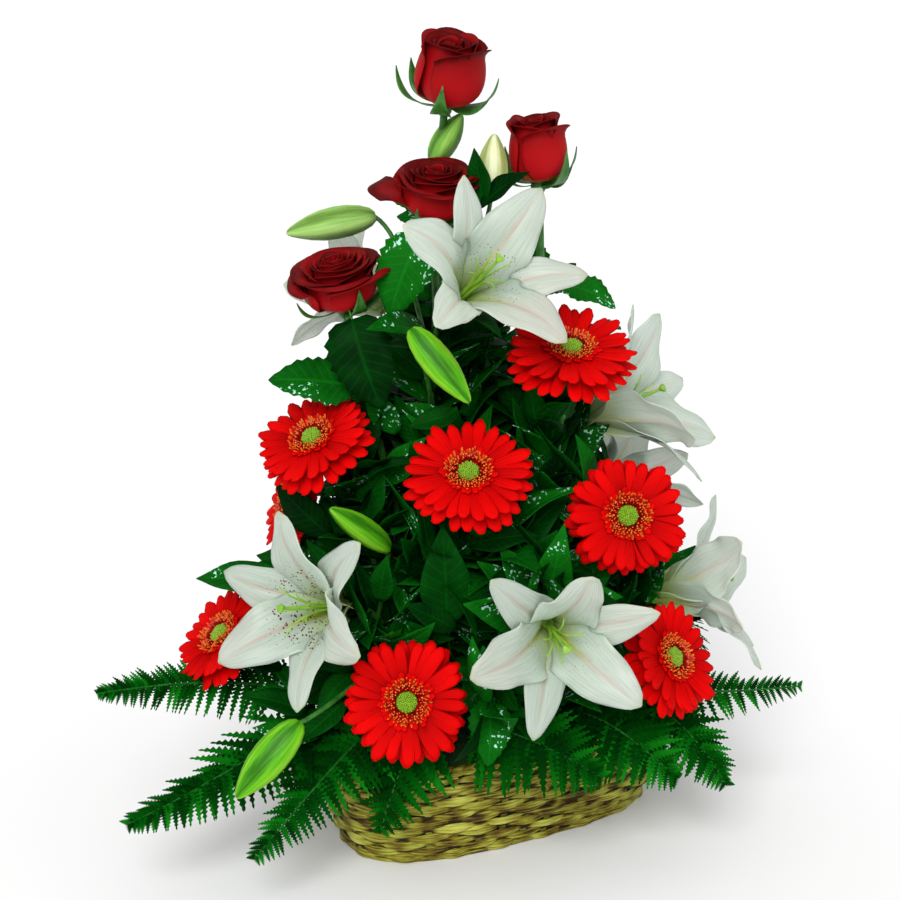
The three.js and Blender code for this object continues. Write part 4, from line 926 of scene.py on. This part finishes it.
# Leaves that show by themselves: root, tip and what the leaf faces.
ROSE_LEAVES = {
    "rose_right": [((54, 14, 490), (100, 34, 478), (20, 60))],
    "rose_upper": [((-64, 52, 538), (-92, 70, 474), (-10, 30))],
    "rose_left": [((-120, 72, 474), (-96, 92, 400), (-20, 35)), ((-120, 66, 416), (-190, 70, 424), (-20, 50))],
}
LONE_LEAVES = {
    "greens_front": [
        ((-42, 122, 229), (-46, 140, 318), (0, 30)), ((5, 128, 251), (-30, 150, 262), (-20, 40)),
        ((28, 120, 253), (1, 134, 299), (10, 20)), ((45, 112, 243), (43, 128, 280), (5, 15)),
        ((-24, 118, 295), (32, 128, 308), (10, 50)), ((-36, 128, 226), (-77, 138, 251), (-20, 40)),
        ((-98, 110, 244), (-92, 124, 287), (-10, 20))],
    "greens_left": [
        ((-141, 66, 287), (-188, 60, 330), (-30, 20)), ((-84, 50, 372), (-112, 56, 412), (-20, 30)),
        ((-38, 34, 367), (-84, 44, 396), (-20, 30)), ((-66, 36, 356), (-86, 46, 404), (-20, 20)),
        ((-128, 56, 262), (-148, 62, 326), (-20, 20)), ((-32, 56, 391), (-75, 60, 379), (0, 40)),
        ((-58, 20, 412), (-98, 20, 444), (-20, 40)), ((-96, 60, 330), (-60, 66, 372), (-10, 30)),
        ((-110, 70, 300), (-96, 74, 356), (-20, 20))],
    "greens_right": [
        ((46, 10, 330), (97, 14, 369), (20, 30)), ((70, 0, 320), (84, 6, 372), (30, 20)),
        ((30, 20, 352), (66, 26, 384), (10, 30))],
    "lily_top": [((-14, 34, 560), (24, 42, 592), (40, 60)), ((-12, 30, 562), (-20, 28, 608), (-30, 10))],
    "lily_lower_left": [
        ((-176, 84, 244), (-256, 70, 252), (-20, 60)), ((-181, 112, 184), (-222, 116, 201), (-20, 55)),
        ((-161, 120, 148), (-212, 126, 167), (-20, 60)), ((-150, 130, 131), (-204, 140, 142), (-20, 60)),
        ((-123, 118, 183), (-151, 140, 157), (0, 40)), ((-127, 128, 162), (-164, 150, 134), (-10, 50)),
        ((-141, 104, 181), (-172, 120, 159), (-10, 40)), ((-149, 112, 154), (-190, 112, 188), (-20, 60)),
        ((-139, 118, 138), (-184, 118, 140), (-20, 60)), ((-163, 104, 158), (-212, 104, 158), (-20, 60))],
}
LANCE_WIDTH, TOOTHED_WIDTH, BROAD_WIDTH = 0.34, 0.66, 0.46
LEAF_CLEAR, LEAF_LOWEST, LEAF_THICKNESS = 0.003, 0.100, 0.0006
TWIGS, TWIG_CLEAR, TWIG_LOWEST = 9, 0.008, 0.125
# Radii of a spray's stem, its twigs, and the stalks of rose leaves, at the start and at the end.
SPRAY_STEM, TWIG, LONE_STALK, LEAF_STALK = (0.0022, 0.0014), (0.0013, 0.0008), (0.0011, 0.0009), (0.0011, 0.0008)
# A leaf is kept from hiding a flower that is nearer than this behind it, seen from the photo's place.
VIEWER = FLOWERS_TURN @ Vector((-0.040, -1.800, 0.860))
HIDING = 0.16

skin = Skin("glossy leaf", roughness=0.45, Specular_IOR_Level=0.02)
across, up = on_petal(skin)
side, tone = from_middle(across), skin.attribute("tone")
side_veins = ((up * 62.0 + side * -11.0).math("SINE") * 0.5 + 0.5).math("POWER", 9.0)
veins = (side_veins * 0.5).math("MAXIMUM", side.ranged(0.0, 0.10, 1.0, 0.0))
blotch = skin.noise(45.0, 3.0)
green = skin.ramp(tone * 0.68 + (blotch * 0.5 - 0.15 + veins * 0.22), (0.12, (0.0006, 0.016, 0.0016)),
                  (0.50, (0.0015, 0.058, 0.003)), (0.92, (0.005, 0.150, 0.006)))
# Small broken pale specks, in patches of the leaves of highest tone, are painted glints: a painted highlight mixed
# into the base colour.
painted_highlight_patches = blotch.math("GREATER_THAN", 0.55) * tone.math("GREATER_THAN", 0.72)
painted_glint = painted_highlight_patches * skin.noise(330.0, 1.0).ranged(0.59, 0.64, 0.0, 0.9)
leaf_dark = skin.painted(mixed(skin, painted_glint, green, (0.45, 0.78, 0.66, 1)), blotch * 0.6 - veins, 0.45, 0.0009)


def leaf_mesh(width, toothed, bend, fold, columns, rows):
    """A leaf 1 long along X with its upper side towards Z. Its width is a share of its length."""
    middle = [Vector((0, 0, 0))]
    for row in range(rows):
        angle = math.radians(bend * (row / rows - 0.35))
        middle.append(middle[-1] + Vector((math.cos(angle), 0, math.sin(angle))) / rows)

    def shape(u, v):
        row = round(v * rows)
        if toothed:
            outline = math.sin(math.pi * min(0.07 + 0.93 * v, 1) ** 0.72) ** 0.78
            outline *= 1 + (0.09 if row % 2 else -0.05) * abs(u)
        else:
            outline = math.sin(math.pi * min(0.05 + 0.95 * v, 1) ** 0.85) ** 1.05
        half = max(outline, 0) * width / 2 + 0.006
        ruffle = 0.10 * half * math.sin(11 * v + (2 if u > 0 else 0)) * abs(u)
        return middle[row] + Vector((0, u * half, fold * abs(u) * half + ruffle))
    return sheet_mesh([(columns, rows, shape, None)])


broad_leaves = [leaf_mesh(BROAD_WIDTH, False, bend, 0.26, 6, 12) for bend in (-30, 5)]
lance_leaves = [leaf_mesh(LANCE_WIDTH, False, bend, 0.28, 4, 10) for bend in (-55, -25, 30)]
toothed_leaves = [leaf_mesh(TOOTHED_WIDTH, True, bend, 0.14, 4, 16) for bend in (-50, -20, 25)]

# Copies a leaf to points that carry its turn, its size and its tone.
foliage = Recipe("foliage", Leaf="Object")
foliage.end(copied(
    foliage, foliage["Geometry"], foliage.add("GeometryNodeObjectInfo", foliage["Leaf"], output="Geometry"),
    foliage.add("FunctionNodeEulerToRotation", foliage.attribute("turn", "FLOAT_VECTOR")),
    foliage.attribute("size")))


def leaf_pose(root, along, face, long):
    """How a leaf stands: where it grows, which way it points, what it faces and how long it is."""
    forward = along.normalized()
    across = face.cross(forward).normalized()
    return root, Matrix((forward, across, forward.cross(across))).transposed(), long


def lone_poses(leaves):
    """Poses of the leaves that show by themselves."""
    ends = [(place(*root), place(*tip), look) for root, tip, look in leaves]
    return [leaf_pose(root, tip - root, looking(*look), (tip - root).length) for root, tip, look in ends]


def foliage_piece(name, node, groups, rng):
    """One piece of leaves from (leaf shapes, poses); the shapes take turns."""
    meshes = []
    for shape, poses in ((shape, poses[index::len(shapes)]) for shapes, poses in groups
                         for index, shape in enumerate(shapes) if len(poses) > index):
        roots, turns, sizes = zip(*poses)
        points = bpy.data.meshes.new("points")
        points.from_pydata(roots, [], [])
        store(points, "turn", [turn.to_euler() for turn in turns], "FLOAT_VECTOR")
        store(points, "size", sizes)
        store(points, "tone", [rng.random() for _ in poses])
        leaf = linked("leaf", shape)
        meshes.append(foliage.run(points, Leaf=leaf, Material=leaf_dark))
        bpy.data.objects.remove(leaf)
    add_piece(name, meshes, node, thickness=LEAF_THICKNESS)


# The surfaces of all flowers, to keep the leaves off them.
points, faces = [], []
for piece in bpy.context.scene.objects:
    if piece.name.endswith(("_petals", "_tepals", "_disc")) or "_bud_" in piece.name:
        first = len(points)
        points += [vertex.co.copy() for vertex in piece.data.vertices]
        faces += [[first + corner for corner in face.vertices] for face in piece.data.polygons]
flowers = BVHTree.FromPolygons(points, faces)


def is_free(pose, width):
    """Whether a leaf touches no flower and hides none from the viewer."""
    root, turn, long = pose
    for far, off in ((0.25, 0), (0.5, 0), (0.5, 0.45), (0.5, -0.45), (0.8, 0), (0.8, 0.25), (0.8, -0.25), (1.0, 0)):
        spot = root + turn @ Vector((far, off * width, 0)) * long
        if (spot.z < LEAF_LOWEST or flowers.find_nearest(spot, LEAF_CLEAR)[0]
                or flowers.ray_cast(spot, (spot - VIEWER).normalized(), HIDING)[0]):
            return False
    return flowers.ray_cast(root, turn.col[0], long)[0] is None


def leaves_up(line, count, start, end, long, width, rng):
    """Poses of leaves round a stem, one after another; each is turned aside until it is free."""
    poses = []
    for index in range(count):
        root, upward = along_line(line, 1 + mix(start, end, index / max(count - 1, 1)) * (len(line) - 2))
        spoke = upward.orthogonal().normalized()
        for aside, shrink in ((0, 1), (0.5, 1), (-0.5, 1), (1, 0.9), (-1, 0.9), (1.6, 0.8), (-1.6, 0.8), (0, 0.6)):
            outward = Quaternion(upward, index * GOLDEN_ANGLE + aside + rng.uniform(-0.3, 0.3)) @ spoke
            opening = math.radians(rng.uniform(34, 74) - 26 * index / count)
            along = upward * math.cos(opening) + outward * math.sin(opening)
            along.z -= 0.25 * rng.random()
            face = upward - outward * 0.45 + Vector([rng.uniform(-0.35, 0.35) for _ in range(3)])
            pose = leaf_pose(root + outward * 0.002, along, face, long * shrink * rng.uniform(0.72, 1.12))
            if is_free(pose, width):
                poses.append(pose)
                break
    return poses


def twigs_up(line, count, rng):
    """Side twigs of a leafy stem that bend upwards and go through no flower."""
    found = []
    for index in range(count):
        root, upward = along_line(line, 1 + (0.20 + 0.66 * index / count) * (len(line) - 2))
        for aside in (0, 0.6, -0.6, 1.3, -1.3, 2.2, 3.0):
            outward = Quaternion(upward, index * GOLDEN_ANGLE + aside) @ upward.orthogonal().normalized()
            tip = root + outward * rng.uniform(0.060, 0.095) + UP * rng.uniform(-0.010, 0.045)
            twig = arch((root, root.lerp(tip, 0.4) - UP * 0.004, root.lerp(tip, 0.8) - UP * 0.002, tip), 10)
            if tip.z > TWIG_LOWEST and not any(flowers.find_nearest(spot, TWIG_CLEAR)[0] for spot in twig):
                found.append(twig)
                break
    return found


for number, (name, (head, foot)) in enumerate(SPRAYS.items(), 1):
    rng = random.Random(80 + number)
    head = place(*head)
    line = stem_line(foot, head, (head - place(*foot, STEM_EXIT)).normalized())
    twigs = [(line, *SPRAY_STEM)]
    lances = leaves_up(line, 40, 0.05, 1.0, 0.090, LANCE_WIDTH, rng)
    rounds = leaves_up(line, 26, 0.10, 0.95, 0.056, TOOTHED_WIDTH, rng)
    for twig in twigs_up(line, TWIGS, rng):
        twigs.append((twig, *TWIG))
        lances += leaves_up(twig, 7, 0.25, 1.0, 0.080, LANCE_WIDTH, rng)
        rounds += leaves_up(twig, 4, 0.2, 0.9, 0.050, TOOTHED_WIDTH, rng)
    foliage_piece(f"{name}_leaves", name, (
        (lance_leaves, lances), (toothed_leaves, rounds), (broad_leaves, lone_poses(LONE_LEAVES.get(name, ())))), rng)
    add_piece(f"{name}_twigs", [stalk_mesh(twigs, stem_green)], name)

for number, (name, line) in enumerate(lily_lines.items(), 1):
    rng = random.Random(90 + number)
    lances = leaves_up(line, 34, 0.04, 0.92, 0.096, LANCE_WIDTH, rng)
    foliage_piece(f"{name}_leaves", f"{name}_stem", (
        (lance_leaves, lances), (broad_leaves, lone_poses(LONE_LEAVES.get(name, ())))), rng)


def rose_spray(root, tip, face, long, rng):
    """Poses of a leaf in five: a leaflet at the tip of its stalk and two pairs below it."""
    along = (tip - root).normalized()
    side = face.cross(along).normalized()
    poses = [leaf_pose(tip, along, face, long)]
    for share, size in ((0.45, 0.72), (0.86, 0.84)):
        for way in (-1, 1):
            tilted = (along * 0.55 + side * way).normalized()
            poses.append(leaf_pose(root.lerp(tip, share), tilted, face + along * rng.uniform(-0.2, 0.2), long * size))
    return poses


for number, (name, (at, look, *_, foot, _, _)) in enumerate(ROSES.items(), 1):
    rng = random.Random(100 + number)
    axis = looking(*look)
    line = stem_line(foot, place(*at) - axis * ROSE_BELOW, axis)
    leaves = lone_poses(ROSE_LEAVES.get(name, ()))
    stalks = []
    for root, turn, long in leaves:
        nearest = min(line, key=lambda point: (point - root).length)
        ends = (nearest, nearest.lerp(root, 0.4) + UP * 0.006, root - turn.col[0] * long * 0.2, root)
        stalks.append((arch(ends, 8), *LONE_STALK))
    for index in range(9):
        root, upward = along_line(line, 3 + index * 1.5)
        for aside in (0, 0.7, -0.7, 1.5, -1.5, 2.4):
            outward = Quaternion(upward, index * GOLDEN_ANGLE + aside) @ upward.orthogonal().normalized()
            tip = root + (upward * 0.5 + outward).normalized() * rng.uniform(0.036, 0.050)
            group = rose_spray(root, tip, upward - outward * 0.3, rng.uniform(0.042, 0.056), rng)
            if all(is_free(pose, TOOTHED_WIDTH) for pose in group):
                leaves += group
                stalks.append(([root, root.lerp(tip, 0.5) + UP * 0.002, tip], *LEAF_STALK))
                break
    add_piece(f"{name}_leaf_stalks", [stalk_mesh(stalks, stem_green)], f"{name}_stem")
    foliage_piece(f"{name}_leaves", f"{name}_stem", ((toothed_leaves, leaves),), rng)

# ---------------------------------------------------------------- the fern fronds
# Fronds skirt the rim and hang over it. Each has a thin rib that arches out of the foam, with pairs
# of narrow toothed leaflets that get shorter towards the tip.

# Where a rib stands, where it leaves the foam, its crest and its tip, what it faces, and its width.
FRONDS = {
    "frond_left_upper": ((-70, 10), (-116, 44), (-262, 100, 170), (-329, 152, 178), (-8, 42), 66),
    "frond_left_lower": ((-64, 34), (-106, 64), (-205, 144, 108), (-302, 196, 82), (-25, 65), 104),
    "frond_left_base": ((-50, 46), (-84, 78), (-128, 150, 122), (-198, 208, 58), (-20, 50), 90),
    "frond_front_left": ((-30, 50), (-46, 86), (-72, 140, 150), (-97, 160, 60), (-6, 34), 104),
    "frond_front": ((8, 46), (-16, 86), (10, 146, 150), (84, 156, 106), (4, 44), 112),
    "frond_front_right": ((40, 24), (58, 56), (96, 116, 140), (150, 124, 92), (12, 44), 108),
    "frond_right_lower": ((44, 18), (82, 38), (150, 82, 150), (193, 116, 82), (20, 46), 100),
    "frond_right_upper": ((52, -10), (110, 12), (184, 26, 122), (266, 42, 140), (6, 50), 64),
    "frond_back_right": ((60, -40), (96, -76), (150, -130, 170), (204, -184, 90), (150, 55), 100),
    "frond_back": ((4, -46), (2, -76), (-10, -150, 180), (-20, -206, 80), (180, 50), 110),
    "frond_back_left": ((-64, -14), (-90, -28), (-160, -100, 170), (-236, -156, 90), (-150, 55), 100),
}
RIB_FOOT, RIB_TIP = 0.0021, 0.0007
LEAFLET_SPACING, LEAFLET_TEETH, LEAFLET_THICKNESS = 0.0082, 9, 0.0005

# Leaflets stand on both sides of a rib; they are longest a third of the way up its leafy part.
frond = Recipe("leaflets along a rib", "Reach", Leaflet="Object", Pairs="Int", Seed="Int")
rib = frond.add("GeometryNodeSetCurveNormal", frond.add("GeometryNodeMeshToCurve", frond["Geometry"]),
                Normal=frond.attribute("outward", "FLOAT_VECTOR"), mode="FREE")
points = frond.add("GeometryNodeCurveToPoints", rib, mode="EVALUATED")
tangent, normal = points.other("Tangent"), points.other("Normal")
leaflet = frond.add("GeometryNodeObjectInfo", frond["Leaflet"], output="Geometry")
share = frond.add("GeometryNodeInputIndex").math("DIVIDE", frond["Pairs"])
long = (share * -1.0 + 1.06).math("POWER", 0.78) * (share * 3.0 + 0.55).math("MINIMUM", 1.12)
sides = []
for way in (-1.0, 1.0):
    seed = frond["Seed"] + (3.0 + way)
    aim = scaled(tangent.math("CROSS_PRODUCT", normal, kind="VectorMath"), way)
    for axis, part in ((tangent, random_number(frond, 0.25, 0.50, seed) + share * 0.30),
                       (normal, random_number(frond, -0.42, 0.06, seed))):
        aim = aim.math("ADD", scaled(axis, part), kind="VectorMath")
    turned = frond.add("FunctionNodeAxesToRotation", aim, normal, primary_axis="X", secondary_axis="Z")
    grown = long * frond["Reach"] * random_number(frond, 0.86, 1.10, seed)
    size = frond.vector(grown, grown * 0.55 + frond["Reach"] * 0.30, grown)
    sides.append(copied(frond, points, leaflet, turned, size))
frond.end(toned(frond, frond.add("GeometryNodeJoinGeometry", sides), frond["Seed"]))


def leaflet_shape(u, v):
    """A narrow leaflet 1 long along X, toothed on both edges."""
    tooth, edge = round(v * 2 * LEAFLET_TEETH) % 2, abs(u) == 1
    half = 0.150 * (1 - v) ** 0.75 * min(1, 0.5 + 4 * v) + 0.004
    if edge:
        half *= 1.25 if tooth else 0.50
    forward = 0.055 if tooth and edge else 0.0
    return Vector((v + forward * (1 - v), u * half, -0.14 * v * v + 0.35 * half * abs(u)))


skin = Skin("fern", roughness=0.6, Specular_IOR_Level=0.0)
across, up = on_petal(skin)
# A leaflet is painted darker towards the rib, painted shade at its foot, and lighter towards its tip; its tone also
# differs at random.
tone = skin.attribute("tone") * 0.64 - 0.07 + (skin.noise(60.0, 3.0) * 0.5 + (up * 0.36 - 0.26))
green = skin.ramp(tone, (0.14, (0.001, 0.028, 0.002)), (0.5, (0.0015, 0.080, 0.003)), (0.86, (0.007, 0.19, 0.008)))
fern_green = skin.painted(green, from_middle(across), 0.5, 0.0006)

skin = Skin("fern rib", roughness=0.5, Specular_IOR_Level=0.15)
rib_green = skin.painted(skin.ramp(skin.noise(90.0, 2.0), (0.3, (0.004, 0.06, 0.004)), (0.7, (0.012, 0.16, 0.012))))

leaflet = linked("leaflet", sheet_mesh([(2, 2 * LEAFLET_TEETH, leaflet_shape, None)]))
for number, (name, (foot, rise, crest, tip, look, wide)) in enumerate(FRONDS.items(), 1):
    start, leaves, crest = place(*foot, STEM_FOOT), place(*rise, STEM_EXIT), place(*crest)
    bent = leaves + (leaves - start).normalized() * 0.5 * (leaves - crest).length
    ends = (leaves, bent, crest, place(*tip))
    rib = arch(ends, 30)
    length = sum((after - here).length for here, after in zip(rib, rib[1:]))
    share, leafy = 0.14, []
    while share < 1:
        leafy.append((bezier(ends, share), looking(*look), 0.0, 1.0))
        share += LEAFLET_SPACING / length * (1.25 - 0.90 * share)
    leaflets = frond.run(path_mesh([leafy]), Leaflet=leaflet, Pairs=len(leafy), Reach=wide / 2000 * 1.15,
                         Seed=number, Material=fern_green)
    add_piece(f"{name}_leaflets", [leaflets], name, thickness=LEAFLET_THICKNESS)
    add_piece(f"{name}_rib", [stalk_mesh([([start] + rib, RIB_FOOT, RIB_TIP)], rib_green)], name)
bpy.data.objects.remove(leaflet)

# ---------------------------------------------------------------- the view
# A pale floor in soft studio light, seen from a little above as in the photograph.

FLOOR_HALF = 40
SUN_FROM, SUN_STRENGTH, SUN_SOFTNESS = Vector((-0.20, -1.30, 0.92)), 2.4, 30
SKY_STRENGTH = 0.66
CAMERA_PITCH, CAMERA_LENS, CAMERA_SENSOR = math.radians(16.05), 86.5, 36

floor_mesh = bpy.data.meshes.new("floor")
floor_mesh.from_pydata(
    [(x * FLOOR_HALF, y * FLOOR_HALF, 0) for x, y in ((-1, -1), (1, -1), (1, 1), (-1, 1))], [], [(0, 1, 2, 3)])
skin = Skin("white floor", roughness=0.9, Specular_IOR_Level=0.0, Base_Color=(0.96, 0.96, 0.96, 1))
floor_mesh.materials.append(skin.material)
linked("floor", floor_mesh)

world = bpy.data.worlds.new("studio")
bpy.context.scene.world = world
world.use_nodes = True
sky = world.node_tree.nodes["Background"].inputs
sky["Color"].default_value, sky["Strength"].default_value = (1, 1, 1, 1), SKY_STRENGTH

sun = bpy.data.lights.new("window light", "SUN")
sun.energy, sun.angle = SUN_STRENGTH, math.radians(SUN_SOFTNESS)
linked("window light", sun).rotation_euler = (FLOWERS_TURN @ -SUN_FROM).to_track_quat("-Z", "Y").to_euler()

lens = bpy.data.cameras.new("camera")
lens.lens, lens.sensor_width = CAMERA_LENS, CAMERA_SENSOR
camera = linked("camera", lens)
sight = FLOWERS_TURN @ Vector((0, math.cos(CAMERA_PITCH), -math.sin(CAMERA_PITCH)))
camera.location, camera.rotation_euler = VIEWER, sight.to_track_quat("-Z", "Y").to_euler()
bpy.context.scene.camera = camera
bpy.context.scene.view_settings.view_transform = "Standard"
